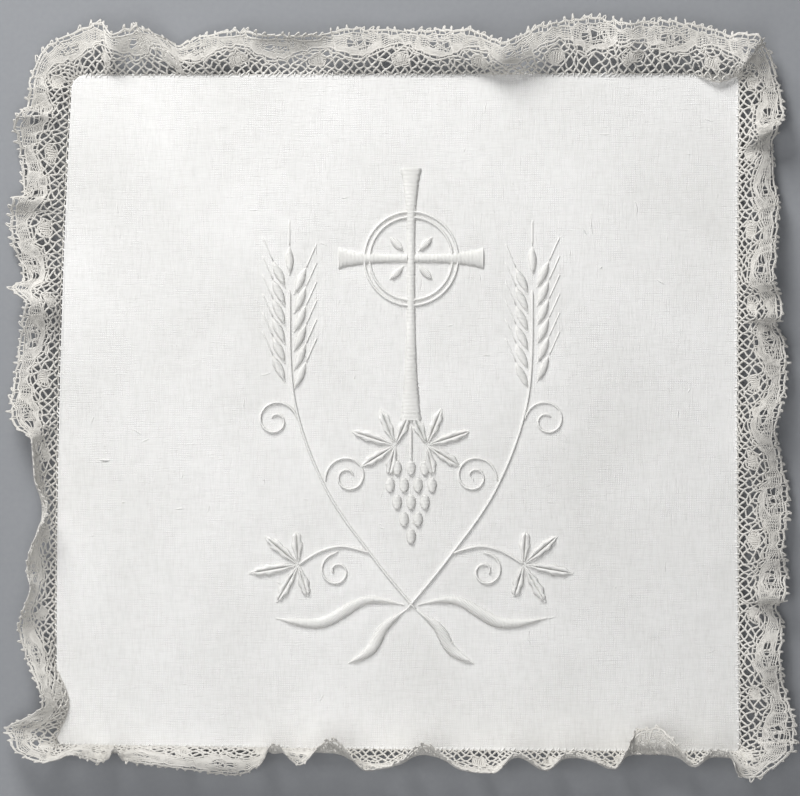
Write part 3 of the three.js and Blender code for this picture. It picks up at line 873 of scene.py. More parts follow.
@dataclass(frozen=True)
class LacePattern:
    """One repeat of the bobbin lace, flat: columns along the strip, across it and off its face, in mm."""

    repeat: float
    overlap: float = 0.15
    runner_samples: int = 34
    border_samples: int = 40
    thread_radius: float = 0.165
    foot_width: float = 0.25
    foot_wave: float = 3.3
    foot_shares: tuple[float, float] = (0.6, 0.4)
    ground_middle: float = 5.2
    ground_swing: float = 1.6
    ground_cells: int = 9
    ground_step: float = 0.06
    ground_margin: float = 0.01
    least_run: int = 5
    pair_radius: float = 0.28
    pair_squash: float = 0.68
    pair_turns: float = 0.62
    pair_step: float = 0.36
    diagonal: float = 1.42
    spot_t: float = 3.6
    spot_along: float = 1.3
    spot_across: float = 0.95
    spot_radius: float = 0.18
    spot_depth: float = 0.05
    spot_runners: tuple[float, float, int] = (0.92, 0.82, 6)
    spot_weavers: tuple[float, float, int] = (0.9, 0.88, 8)
    spot_samples: tuple[int, int] = (6, 5)
    spot_ring: float = 1.5
    rim_radii: tuple[float, float] = (0.17, 0.21)
    rim_samples: int = 22
    spot_rungs: int = 16
    spot_rung_start: float = 0.95
    ladder: float = 0.75
    ladder_pitch: float = 0.9
    border_radii: tuple[float, float, float] = (0.22, 0.2, 0.2)
    rung_radius: float = 0.15
    rung_shares: tuple[float, ...] = (-0.02, 0.5, 1.02)
    rung_bow: tuple[float, ...] = (0.0, 0.06, 0.0)
    cloth_radius: float = 0.135
    cloth_squash: float = 0.55
    cloth_depth: float = 0.03
    passives: int = 13
    passive_samples: tuple[int, int] = (46, 32)
    crowd: float = 0.5
    leave: float = 0.2
    weaver_pitch: float = 0.48
    weaver_slant: float = 0.1
    weaver_samples: int = 12
    eye_t: float = 7.6
    eye_along: float = 2.1
    eye_across: float = 1.15
    eye_holes: int = 12
    eye_heart: tuple[tuple[float, float], ...] = ((-1.25, 0.42), (0.0, 0.55), (1.25, 0.42))
    hole_radius: float = 0.3
    hole_reach: float = 2.4
    hole_middle: float = 1e-6
    edge_middle: float = 10.4
    edge_swing: float = 0.12
    edge_ladder: float = 1.1
    edge_pitch: float = 1.1
    braid: float = 0.36
    braid_radius: float = 0.18
    braid_lift: float = 0.07
    picot_pitch: float = 1.85
    picot_height: float = 1.1
    picot_radius: float = 0.19
    picot_squash: float = 0.8
    picot_loop: tuple[tuple[float, float], ...] = (
        (-0.3, 0.0), (-0.12, 0.42), (0.08, 0.82), (0.2, 1.0), (0.3, 0.8), (0.24, 0.4), (0.3, 0.0),
    )

    def ground_edge(self, s: np.ndarray) -> np.ndarray:
        """Where the mesh ground ends, widest at the spots."""
        return self.ground_middle + self.ground_swing * np.cos(math.tau * s / self.repeat)

    def cloth_edge(self, s: np.ndarray) -> np.ndarray:
        """Where the clothwork ends on the picot side."""
        return self.edge_middle - self.edge_swing * np.cos(math.tau * s / self.repeat)

    def line(self, count: int) -> np.ndarray:
        """Distances along one repeat, a touch past both its ends so that repeats join."""
        return np.linspace(-self.overlap, self.repeat + self.overlap, count)

    def bundle(self) -> ThreadBundle:
        """Works one repeat of the lace, up to its picot edging.

        Returns:
            The repeat's threads.
        """
        threads = ThreadBundle()
        self.work_footing(threads)
        self.work_ground(threads)
        self.work_spot(threads)
        self.work_ladders(threads)
        self.work_cloth(threads)
        return threads

    def edging(self) -> ThreadBundle:
        """Works one repeat of the picot edging.

        Returns:
            The edging's threads.
        """
        threads = ThreadBundle()
        self.work_edge(threads)
        return threads

    def work_footing(self, threads: ThreadBundle) -> None:
        """Works the thin runner along the seam that the mesh hangs from.

        Args:
            threads: the repeat's threads, which it adds to.
        """
        s = self.line(self.runner_samples)
        steady, sway = self.foot_shares
        t = self.foot_width * (steady + sway * np.sin(self.foot_wave * s))
        threads.add(on_face(s, t), self.thread_radius)

    def work_ground(self, threads: ThreadBundle) -> None:
        """Works the diagonal mesh of twisted pairs, left open round each spot.

        Args:
            threads: the repeat's threads, which it adds to.
        """
        pitch = self.repeat / self.ground_cells
        widest = self.ground_middle + self.ground_swing
        t = np.arange(self.foot_width, widest + self.ground_margin, self.ground_step)
        for cell in range(self.ground_cells):
            for lean in (-1, 1):
                s = cell * pitch + lean * (t - self.foot_width)
                to_spot = (s + self.repeat / 2) % self.repeat - self.repeat / 2
                off_spot = np.hypot(to_spot / self.spot_along, (t - self.spot_t) / self.spot_across)
                kept = (t <= self.ground_edge(s)) & (off_spot > self.spot_ring)
                for run in np.split(np.arange(len(t)), np.flatnonzero(np.diff(kept)) + 1):
                    if not kept[run[0]] or len(run) < self.least_run:
                        continue
                    length = (t[run[-1]] - t[run[0]]) * self.diagonal
                    fine = np.linspace(t[run[0]], t[run[-1]], max(3, int(length / self.pair_step) + 1))
                    path = on_face(cell * pitch + lean * (fine - self.foot_width), fine)
                    threads.add(path, self.pair_radius, self.pair_squash, self.pair_turns)

    def work_spot(self, threads: ThreadBundle) -> None:
        """Works the oval cloth-stitch spot, with a ring of pinholes between it and the mesh.

        Args:
            threads: the repeat's threads, which it adds to.
        """
        fill, span, count = self.spot_runners
        for k in np.linspace(-span, span, count):
            half = fill * self.spot_along * math.sqrt(1 - k * k)
            s = np.linspace(-half, half, self.spot_samples[0])
            path = on_face(s, self.spot_t + k * self.spot_across + 0 * s, -self.spot_depth)
            threads.add(path, self.spot_radius, self.cloth_squash)
        fill, span, count = self.spot_weavers
        for k in np.linspace(-span, span, count):
            half = self.spot_across * math.sqrt(1 - k * k)
            t = np.linspace(-half, half, self.spot_samples[1])
            path = on_face(k * fill * self.spot_along + 0 * t, self.spot_t + t, self.spot_depth)
            threads.add(path, self.spot_radius, self.cloth_squash)
        angle = np.linspace(0, math.tau, self.rim_samples)
        for size, radius in zip((1.0, self.spot_ring), self.rim_radii):
            rim = on_face(size * self.spot_along * np.cos(angle),
                          self.spot_t + size * self.spot_across * np.sin(angle))
            threads.add(rim, radius)
        for turn in np.linspace(0, math.tau, self.spot_rungs, endpoint=False):
            size = np.array((self.spot_rung_start, self.spot_ring))
            rung = on_face(size * self.spot_along * math.cos(turn),
                           self.spot_t + size * self.spot_across * math.sin(turn))
            threads.add(rung, self.thread_radius)

    def work_ladders(self, threads: ThreadBundle) -> None:
        """Works the two borders of pinholes: beside the mesh ground and beside the picot edge.

        Args:
            threads: the repeat's threads, which it adds to.
        """
        s = self.line(self.border_samples)
        inner = self.ground_edge(s)
        for t, radius in zip((inner, inner + self.ladder, self.cloth_edge(s)), self.border_radii):
            threads.add(on_face(s, t), radius)
        for pitch, start, width in ((self.ladder_pitch, self.ground_edge, self.ladder),
                                    (self.edge_pitch, self.cloth_edge, self.edge_ladder)):
            count = round(self.repeat / pitch)
            for k in range(count):
                at = np.full(len(self.rung_shares), (k + 0.5) * self.repeat / count)
                t = start(at) + width * np.array(self.rung_shares)
                threads.add(on_face(at + self.rung_bow, t), self.rung_radius)

    def holes(self) -> list[tuple[float, float, float]]:
        """Sets out the holes of the eye, half way between two spots.

        Returns:
            Each hole's place along the strip, place across it and radius.
        """
        ring = [(self.eye_along * math.cos(a), self.eye_across * math.sin(a), self.hole_radius)
                for a in np.linspace(0, math.tau, self.eye_holes, endpoint=False)]
        heart = [(s, 0.0, radius) for s, radius in self.eye_heart]
        return [(self.repeat / 2 + s, self.eye_t + t, radius) for s, t, radius in ring + heart]

    def opened(self, points: np.ndarray) -> np.ndarray:
        """Pushes threads apart round the holes of the eye.

        Args:
            points: a thread's points on the flat lace.

        Returns:
            The points, moved.
        """
        moved = points.copy()
        for s, t, radius in self.holes():
            off = moved[:, :2] - (s, t)
            far = np.linalg.norm(off, axis=1)
            clear = radius + self.thread_radius
            reach = clear * self.hole_reach
            near = far < reach
            wide = clear + far[near] * (1 - clear / reach)
            moved[near, :2] = (s, t) + off[near] * (wide / np.maximum(far[near], self.hole_middle))[:, None]
        return moved

    def work_cloth(self, threads: ThreadBundle) -> None:
        """Works the clothwork trail: runners along it, half of them left out by the spots, and weavers.

        Args:
            threads: the repeat's threads, which it adds to.
        """
        for row, k in enumerate(np.linspace(0, 1, self.passives + 2)[1:-1]):
            through, short = self.passive_samples
            ends = self.leave, 1 - self.leave
            s = self.repeat * np.linspace(*ends, short) if row % 2 else self.line(through)
            inner, outer = self.ground_edge(s) + self.ladder, self.cloth_edge(s)
            crowded = 1 + self.crowd * (1 - np.cos(math.tau * s / self.repeat)) / 2
            path = on_face(s, inner + (outer - inner) * k ** crowded, self.cloth_depth)
            threads.add(self.opened(path), self.cloth_radius, self.cloth_squash)
        count = round(self.repeat / self.weaver_pitch)
        for k in range(count):
            share = np.linspace(0, 1, self.weaver_samples)
            slant = self.weaver_slant if k % 2 else -self.weaver_slant
            s = (k + 0.5) * self.repeat / count + slant * (2 * share - 1)
            inner, outer = self.ground_edge(s) + self.ladder, self.cloth_edge(s)
            path = on_face(s, inner + (outer - inner) * share, -self.cloth_depth)
            threads.add(self.opened(path), self.cloth_radius, self.cloth_squash)

    def work_edge(self, threads: ThreadBundle) -> None:
        """Works the narrow braid along the edge and its row of picots.

        Args:
            threads: the repeat's threads, which it adds to.
        """
        s = self.line(self.runner_samples)
        edge = self.cloth_edge(s) + self.edge_ladder
        for step in (0.0, self.braid):
            threads.add(on_face(s, edge + step), self.braid_radius)
        s = self.line(self.border_samples)
        zigzag = self.cloth_edge(s) + self.edge_ladder + np.where(np.arange(len(s)) % 2, 0.0, self.braid)
        threads.add(on_face(s, zigzag, self.braid_lift), self.thread_radius)
        count = round(self.repeat / self.picot_pitch)
        loop = np.array(self.picot_loop)
        for k in range(count):
            at = (k + 0.5) * self.repeat / count
            root = float(self.cloth_edge(np.array(at))) + self.edge_ladder + self.braid
            path = on_face(at + loop[:, 0], root + loop[:, 1] * self.picot_height)
            threads.add(path, self.picot_radius, self.picot_squash)


@dataclass
class LaceFrill:
    """The gathered lace edging, worked as one strip and kept as four pieces, one for each side."""

    surface: FrillSurface
    repeat_wanted: float = 18.0
    jitter: float = 0.2
    jitter_shares: tuple[float, float] = (1.0, 0.8)
    jitter_waves: int = 5
    jitter_along: tuple[float, float] = (0.6, 3.4)
    jitter_across: float = 2.6
    held_width: float = 2.0

    def uneven(self, points: np.ndarray) -> np.ndarray:
        """Shifts the flat lace a little, as worked by hand.

        Args:
            points: points of the flat lace.

        Returns:
            The points, moved.
        """
        rng = np.random.default_rng(SEED + 1)
        moved = points.copy()
        loose = self.jitter * np.clip(points[:, 1] / self.held_width, 0, 1)
        lean = self.jitter_across
        for column, share in enumerate(self.jitter_shares):
            for _ in range(self.jitter_waves):
                a, b = rng.uniform(*self.jitter_along), rng.uniform(-lean, lean)
                wave = np.sin(a * points[:, 0] + b * points[:, 1] + rng.uniform(0, math.tau))
                moved[:, column] += share * loose * wave
        return moved

    def place(self, points: np.ndarray) -> tuple[np.ndarray, np.ndarray]:
        """Places flat lace on the folds, with its small unevenness."""
        return self.surface.place(self.uneven(points))

    def side_of(self, along: float) -> Side:
        """Tells which side of the square a stretch of the strip is sewn to.

        Args:
            along: a distance along the strip.

        Returns:
            The side.
        """
        seam = float(np.interp(along, self.surface.run, self.surface.table[:, 0]))
        corners = self.surface.outline.corner_at
        return Side(max(k for k in range(4) if seam >= corners[k] or k == 0))

    def build(self, material: bpy.types.Material) -> list[bpy.types.Object]:
        """Works every repeat, joins those of each side and dresses each side's lace and picot edging.

        Args:
            material: the lace thread's finish.

        Returns:
            Each side's lace and its picot edging.
        """
        repeats = round(self.surface.length / self.repeat_wanted)
        pattern = LacePattern(self.surface.length / repeats)
        worked, edging = pattern.bundle(), pattern.edging()
        bodies = {side: ThreadBundle() for side in Side}
        edges = {side: ThreadBundle() for side in Side}
        counts = {side: 0 for side in Side}
        for k in range(repeats):
            side = self.side_of((k + 0.5) * pattern.repeat)
            bodies[side].extend(worked.shifted(k * pattern.repeat))
            edges[side].extend(edging.shifted(k * pattern.repeat))
            counts[side] += 1
        pieces = []
        for side in Side:
            body = bodies[side].build(f"lace_{side.name.lower()}", self.place)
            edge = edges[side].build(f"picots_{side.name.lower()}", self.place)
            for piece in (body, edge):
                dress(piece, material)
                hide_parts("lace_frill")
            pieces += [body, edge]
        length = self.surface.length
        log.info("lace strip: %.0f mm long, %d repeats of %.2f mm", length, repeats, pattern.repeat)
        return pieces


# Embroidery

# Gives a shape's width at shares of its middle line
Width = Callable[[np.ndarray], np.ndarray]
LOOK = 0.1  # mm ahead and behind from which a line's direction is read


@dataclass
class Embroidery:
    """White embroidery: a flared cross in a wreath of wheat, vine leaves and grapes, in mm."""

    centre: tuple[float, float] = (2.0, 3.0)
    linen_top: float = LINEN_THICKNESS
    curve_samples: int = 40
    stitch_pitch: float = 0.3
    stitch_radius: float = 0.17
    stitch_squash: float = 0.8
    stitch_sink: float = 0.2
    stitch_jitter: tuple[float, float] = (0.95, 1.05)
    fill_samples: int = 7
    vein_samples: int = 5
    least_fill: float = 0.25
    padding: float = 0.56
    full_half: float = 0.5
    roundness: float = 0.6
    stem_pitch: float = 0.85
    stem_stitch: float = 2.3
    stem_radius: float = 0.22
    stem_squash: float = 0.9
    stem_slant: float = 0.15
    stem_sink: float = 0.1
    stem_rise: float = 0.28
    stem_taper: tuple[float, ...] = (0.7, 1.0, 1.0, 1.0, 0.7)
    least_line: float = 0.1
    cross_y: float = 31.0
    cross_waist: float = 1.8
    cross_flare: float = 4.8
    flare_power: int = 3
    cross_arms: tuple[tuple[float, float, float], ...] = (
        (0, 0.8, 16),
        (90, 0, 20),
        (180, 0.8, 16),
        (270, 0, 36),
    )
    wheat_stem: tuple[tuple[float, float], ...] = ((-1, -47), (8, -36), (19, -20), (26, 0), (27, 24))
    leaf_stem: tuple[tuple[float, float], ...] = ((9, -34.5), (15, -33), (20, -34), (25, -37))
    blades: tuple[tuple[tuple[float, float], ...], ...] = (
        ((1.5, -46), (10, -45), (20, -50), (30, -49)),
        ((1, -47), (6, -51), (9, -56), (14, -59)),
    )
    blade_width: float = 2.5
    ear_pairs: int = 6
    ear_start: float = 2.0
    ear_pitch: float = 4.2
    ear_lean: float = 24.0
    ear_stagger: float = 1.5
    grain_aside: float = 1.0
    grain_length: float = 6.4
    grain_width: float = 1.8
    grain_slant: float = 20.0
    awn_length: float = 6.0
    awn_radius: float = 0.14
    awn_start: int = 21
    awn_step: int = 3
    leaf_fullest: float = 1.15
    leaves: tuple[tuple[float, float, float, float], ...] = ((25, -37, -10, 11), (3.5, -10.5, 18, 10))
    lobe_turns: tuple[float, ...] = (-96, -50, 0, 50, 96)
    lobe_shares: tuple[float, ...] = (0.66, 0.86, 1.0, 0.86, 0.66)
    lobe_width: float = 2.1
    least_lobe: float = 0.3
    tooth_depth: float = 0.16
    tooth_rate: float = 2.4
    vein_lean: float = 0.85
    vein_gap: float = 0.04
    stalk_drop: float = 37.0
    stalk_length: float = 8.0
    bunch_top: float = -14.0
    bunch_rows: tuple[int, ...] = (3, 4, 3, 2, 1)
    grape_pitch: tuple[float, float] = (3.1, 3.8)
    grape_size: tuple[float, float] = (2.1, 3.1)
    ring_radii: tuple[float, ...] = (9.2, 10.4)
    ring_samples: int = 200
    petal: tuple[float, float, float] = (2.2, 6.6, 1.7)
    tendrils: tuple[tuple[float, float, float, float, float], ...] = (
        (14.0, -17.5, 5.2, -12, 1.5),
        (30.2, -5.0, 5.0, 180, -1.4),
        (16.5, -38.5, 4.2, 95, -1.35),
    )
    tendril_radius: float = 0.18
    tendril_samples: int = 120
    tendril_curl: float = 0.8

    def __post_init__(self) -> None:
        """Starts with no stitches."""
        self.satin = ThreadBundle()
        self.stems = ThreadBundle()
        self.rng = np.random.default_rng(SEED + 2)

    def smooth(self, points: tuple[tuple[float, float], ...], side: int) -> np.ndarray:
        """Draws a smooth line through points of the right-hand half.

        Args:
            points: the points, from the design's middle line.
            side: 1 for the right half, -1 for its mirror image.

        Returns:
            A dense line of two columns.
        """
        p = np.array(points, float) * (side, 1) + self.centre
        p = np.vstack((p[:1], p, p[-1:]))
        share = np.linspace(0, 1, self.curve_samples, endpoint=False)[:, None]
        parts = [cubic(b, c, (c - a) / 2, (d - b) / 2, share)
                 for a, b, c, d in zip(p[:-3], p[1:-2], p[2:-1], p[3:])]
        return np.vstack((*parts, p[-1:]))

    def ray(self, x: float, y: float, turn: float, length: float, side: int) -> np.ndarray:
        """Draws a straight line from a foot.

        Args:
            x: the foot, right of the design's middle line.
            y: the foot's height in the design.
            turn: degrees from +X, anticlockwise in the right half.
            length: the line's length.
            side: 1 for the right half, -1 for its mirror image.

        Returns:
            A line of two columns.
        """
        away = np.linspace(0, length, self.curve_samples)
        angle = math.radians(turn)
        path = np.column_stack((x + away * math.cos(angle), y + away * math.sin(angle)))
        return path * (side, 1) + self.centre

    @staticmethod
    def measured(path: np.ndarray, at: np.ndarray) -> tuple[np.ndarray, np.ndarray, float]:
        """Finds places and directions along a line.

        Args:
            path: the line's points.
            at: distances along it.

        Returns:
            The places, the unit directions there and the line's length.
        """
        run = run_along(path)
        way = read_off(at + LOOK, run, path) - read_off(at - LOOK, run, path)
        return read_off(at, run, path), unit(way), float(run[-1])

    def rows(self, path: np.ndarray, width: Width) -> tuple[np.ndarray, np.ndarray, np.ndarray, np.ndarray]:
        """Spaces satin stitches along a line.

        Args:
            path: the shape's middle line.
            width: the shape's width at shares of the line.

        Returns:
            The stitches' distances along the line, places, directions and the shape's widths there.
        """
        length = self.measured(path, np.zeros(1))[2]
        at = np.arange(0.5, length / self.stitch_pitch) * self.stitch_pitch
        spots, ways, _ = self.measured(path, at)
        return at, spots, ways, width(at / length)

    def satin_stitch(self, flat: np.ndarray, half: float, across: np.ndarray) -> None:
        """Works one padded stitch.

        Args:
            flat: the stitch's points, of two columns.
            half: half the shape's width there, as narrow shapes stand lower.
            across: shares of the stitch, from -1 to 1.
        """
        rise = self.padding * min(1.0, half / self.full_half) * (1 - across ** 2) ** self.roundness
        points = np.column_stack((flat, self.linen_top - self.stitch_sink + rise))
        self.satin.add(points, self.stitch_radius, self.stitch_squash)

    def fill(self, path: np.ndarray, width: Width, slant: float) -> None:
        """Fills a shape with padded satin stitch, one thread beside the next.

        Args:
            path: the shape's middle line.
            width: the shape's width at shares of the line.
            slant: degrees that each stitch leans from square across.
        """
        _, spots, ways, wides = self.rows(path, width)
        lean = math.tan(math.radians(slant))
        across = np.linspace(-1, 1, self.fill_samples)
        for spot, way, wide in zip(spots, ways, wides):
            half = max(wide, self.least_fill) / 2 * self.rng.uniform(*self.stitch_jitter)
            aside = np.array((-way[1], way[0])) + way * lean
            self.satin_stitch(spot + across[:, None] * half * aside, half, across)

    def vein(self, path: np.ndarray, width: Width) -> None:
        """Fills a leaf's lobe with two rows of satin stitch that lean forwards from a sunken vein.

        Args:
            path: the vein.
            width: the lobe's width at shares of the vein.
        """
        at, spots, ways, wides = self.rows(path, width)
        across = np.linspace(-1, 1, self.vein_samples)
        toothed = wides * (1 + self.tooth_depth * np.sin(at * self.tooth_rate))
        for spot, way, wide in zip(spots, ways, toothed):
            half = max(wide, self.least_lobe) / 2 * self.rng.uniform(*self.stitch_jitter)
            for hand in (-1, 1):
                edge = hand * np.array((-way[1], way[0])) + way * self.vein_lean
                flat = spot + ((across[:, None] + 1) / 2 * half + self.vein_gap) * edge
                self.satin_stitch(flat, half, across)

    def outline_stitch(self, path: np.ndarray, radius: float | None = None) -> None:
        """Works a line in stem stitch: short slanting stitches, each begun beside the last one's middle.

        Args:
            path: the line.
            radius: the thread's half width, or none for the usual one.
        """
        length = self.measured(path, np.zeros(1))[2]
        for start in np.arange(0, max(length - self.stem_stitch / 2, self.least_line), self.stem_pitch):
            share = np.linspace(-1, 1, len(self.stem_taper))
            at = np.linspace(start, min(start + self.stem_stitch, length), len(share))
            spots, ways, _ = self.measured(path, at)
            flat = spots + np.column_stack((-ways[:, 1], ways[:, 0])) * (self.stem_slant * share)[:, None]
            height = self.linen_top - self.stem_sink + self.stem_rise * (1 - share ** 2)
            self.stems.add(np.column_stack((flat, height)), radius or self.stem_radius, self.stem_squash,
                           taper=np.array(self.stem_taper))

    def arm_width(self, share: np.ndarray) -> np.ndarray:
        """Width of an arm of the cross, flared at its end."""
        return self.cross_waist + (self.cross_flare - self.cross_waist) * share ** self.flare_power

    def leaf_width(self, width: float) -> Width:
        """Width of a leaf, pointed at both ends."""
        return lambda share: width * np.sin(math.pi * share ** self.leaf_fullest)

    def grape_width(self, width: float) -> Width:
        """Width of a grape, round at both ends."""
        return lambda share: width * np.sqrt(np.maximum(0, 1 - (2 * share - 1) ** 2))

    def work_cross(self) -> None:
        """Works the four flared arms of the cross."""
        for turn, start, length in self.cross_arms:
            whole = self.ray(0, self.cross_y, turn, length, 1)
            path = whole[int(len(whole) * start / length):]
            self.fill(path, self.arm_width, 0)
            near, far, wide = self.petal
            petal = self.ray(0, self.cross_y, turn + 45, far, 1)
            self.fill(petal[int(len(petal) * near / far):], self.leaf_width(wide), 0)
        angle = np.linspace(0, math.tau, self.ring_samples)
        for radius in self.ring_radii:
            ring = np.column_stack((radius * np.cos(angle), self.cross_y + radius * np.sin(angle)))
            self.outline_stitch(ring + self.centre)

    def work_bunch(self) -> None:
        """Works the bunch of grapes under the cross, and its stalk."""
        self.outline_stitch(self.ray(0, self.cross_y - self.stalk_drop, -90, self.stalk_length, 1))
        width, length = self.grape_size
        for row, count in enumerate(self.bunch_rows):
            for k in range(count):
                x = (k - (count - 1) / 2) * self.grape_pitch[0]
                y = self.bunch_top - row * self.grape_pitch[1]
                self.fill(self.ray(x, y, -90, length, 1), self.grape_width(width), 0)

    def work_ear(self, side: int) -> None:
        """Works one ear of wheat: grains in pairs, each with its awn.

        Args:
            side: 1 for the right half, -1 for its mirror image.
        """
        x = self.wheat_stem[-1][0]
        grains = [(x, self.ear_start + self.ear_pairs * self.ear_pitch, 90.0)]
        for pair in range(self.ear_pairs):
            y = self.ear_start + pair * self.ear_pitch
            grains += [(x - self.grain_aside, y, 90 + self.ear_lean),
                       (x + self.grain_aside, y + self.ear_stagger, 90 - self.ear_lean)]
        shape = self.leaf_width(self.grain_width)
        for gx, gy, turn in grains:
            self.fill(self.ray(gx, gy, turn, self.grain_length, side), shape, self.grain_slant)
            whole = self.ray(gx, gy, turn, self.grain_length + self.awn_length, side)
            awn = whole[self.awn_start::self.awn_step]
            height = np.full(len(awn), self.linen_top)
            self.stems.add(np.column_stack((awn, height)), self.awn_radius, self.stitch_squash)

    def work_half(self, side: int) -> None:
        """Works the wheat, vine leaves, blades and tendrils of one half.

        Args:
            side: 1 for the right half, -1 for its mirror image.
        """
        self.outline_stitch(self.smooth(self.wheat_stem, side))
        self.outline_stitch(self.smooth(self.leaf_stem, side))
        self.work_ear(side)
        for points in self.blades:
            self.fill(self.smooth(points, side), self.leaf_width(self.blade_width), 0)
        for x, y, turn, size in self.leaves:
            for spread, share in zip(self.lobe_turns, self.lobe_shares):
                self.vein(self.ray(x, y, turn + spread, size * share, side), self.leaf_width(self.lobe_width))
        for x, y, radius, start, turns in self.tendrils:
            share = np.linspace(0, 1, self.tendril_samples)
            angle = math.radians(start) + math.tau * turns * share
            arm = radius * (1 - self.tendril_curl * share ** self.tendril_curl)
            curl = np.column_stack((x + arm * np.cos(angle), y + arm * np.sin(angle)))
            self.outline_stitch(curl * (side, 1) + self.centre, self.tendril_radius)

    def build(self, material: bpy.types.Material) -> list[bpy.types.Object]:
        """Works the whole design and dresses its two pieces.

        Args:
            material: the embroidery cotton's finish.

        Returns:
            The satin stitch and the line stitch.
        """
        self.work_cross()
        self.work_bunch()
        for side in (-1, 1):
            self.work_half(side)
        pieces = []
        for name, bundle in (("embroidery_satin", self.satin), ("embroidery_lines", self.stems)):
            piece = bundle.build(name, lie_flat)
            dress(piece, material)
            pieces.append(piece)
        return pieces

    def stitched(self) -> np.ndarray:
        """Points of every stitch, of two columns, for the linen to pucker round."""
        return np.concatenate([p[:, :2] for p in (*self.satin.points, *self.stems.points)])


# Linen


@dataclass
class LinenPanel:
    """The stiffened linen square: a flat closed sheet with a rounded edge, in mm."""

    outline: PanelOutline
    thickness: float = LINEN_THICKNESS
    edge_round: float = 0.28
    cells: int = 190
    edge_steps: int = 4
    rim_crowding: float = 0.18
    pucker_depth: float = 0.1
    pucker_reach: float = 1.5
    pucker_skip: int = 3
    wave: float = 0.1
    wave_lengths: tuple[float, float, float] = (23.0, 19.0, 31.0)
    wave_phases: tuple[float, float] = (0.6, -0.4)
    slant_share: float = 0.6

    def spread(self, share: np.ndarray) -> np.ndarray:
        """Spaces grid lines closer towards the rim."""
        centred = 2 * share - 1
        return (centred * (1 + self.rim_crowding - self.rim_crowding * centred ** 2) + 1) / 2

    def swell(self, flat: np.ndarray) -> np.ndarray:
        """Height of the linen's face where nothing is sewn: a slow wave.

        Args:
            flat: points of two columns.

        Returns:
            Heights.
        """
        x, y = flat.T
        along, across, slanting = self.wave_lengths
        slow = np.sin(x / along + self.wave_phases[0]) * np.cos(y / across + self.wave_phases[1])
        slow = slow + self.slant_share * np.sin((x + y) / slanting)
        return self.thickness + self.wave * (slow - 1) / 2

    def relief(self, flat: np.ndarray, stitches: np.ndarray) -> np.ndarray:
        """Height of the linen's face: its slow wave and puckers round the stitching.

        Args:
            flat: points of two columns.
            stitches: points of the embroidery.

        Returns:
            Heights.
        """
        sampled = stitches[::self.pucker_skip]
        tree = KDTree(len(sampled))
        for k, (x, y) in enumerate(sampled):
            tree.insert((x, y, 0), k)
        tree.balance()
        off = np.array([tree.find((x, y, 0))[2] for x, y in flat])
        pucker = -self.pucker_depth * np.exp(-(off / self.pucker_reach) ** 2)
        return self.swell(flat) + pucker

    def build(self, material: bpy.types.Material, stitches: np.ndarray) -> bpy.types.Object:
        """Models the square from one grid, turns its rim down and closes its underside.

        Args:
            material: the linen's finish.
            stitches: points of the embroidery, for the puckers.

        Returns:
            The linen square.
        """
        shape = bmesh.new()
        bmesh.ops.create_grid(shape, x_segments=self.cells, y_segments=self.cells, size=0.5)
        shape.verts.ensure_lookup_table()
        share = np.array([(v.co.x + 0.5, v.co.y + 0.5) for v in shape.verts])
        u, v = self.spread(share[:, 0]), self.spread(share[:, 1])
        keep_u, keep_v = shape.verts.layers.float.new("u"), shape.verts.layers.float.new("v")
        flat = self.outline.inside(u, v, self.edge_round)
        height = self.relief(flat, stitches)
        for k, vert in enumerate(shape.verts):
            vert[keep_u], vert[keep_v] = u[k], v[k]
            vert.co = (flat[k, 0] * MM, flat[k, 1] * MM, height[k] * MM)
        rim = [edge for edge in shape.edges if edge.is_boundary]
        quarter = np.linspace(0, math.pi / 2, self.edge_steps + 1)[1:]
        low_start = self.thickness - self.edge_round
        profile = [(self.edge_round * (1 - math.sin(a)), low_start + self.edge_round * math.cos(a))
                   for a in quarter]
        profile += [(inset, self.thickness - z) for inset, z in reversed(profile[:-1])]
        profile.append((self.edge_round, 0.0))
        for inset, z in profile:
            made = bmesh.ops.extrude_edge_only(shape, edges=rim)["geom"]
            verts = [g for g in made if isinstance(g, bmesh.types.BMVert)]
            rim = [g for g in made if isinstance(g, bmesh.types.BMEdge) and g.is_boundary]
            places = self.outline.inside(np.array([w[keep_u] for w in verts]),
                                         np.array([w[keep_v] for w in verts]), inset)
            for vert, (x, y) in zip(verts, places):
                vert.co = (x * MM, y * MM, z * MM)
        bmesh.ops.holes_fill(shape, edges=rim, sides=0)
        bmesh.ops.recalc_face_normals(shape, faces=shape.faces)
        piece = mesh_object("linen_square", shape)
        piece.data.shade_smooth()
        dress(piece, material)
        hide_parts("linen_panel")
        return piece


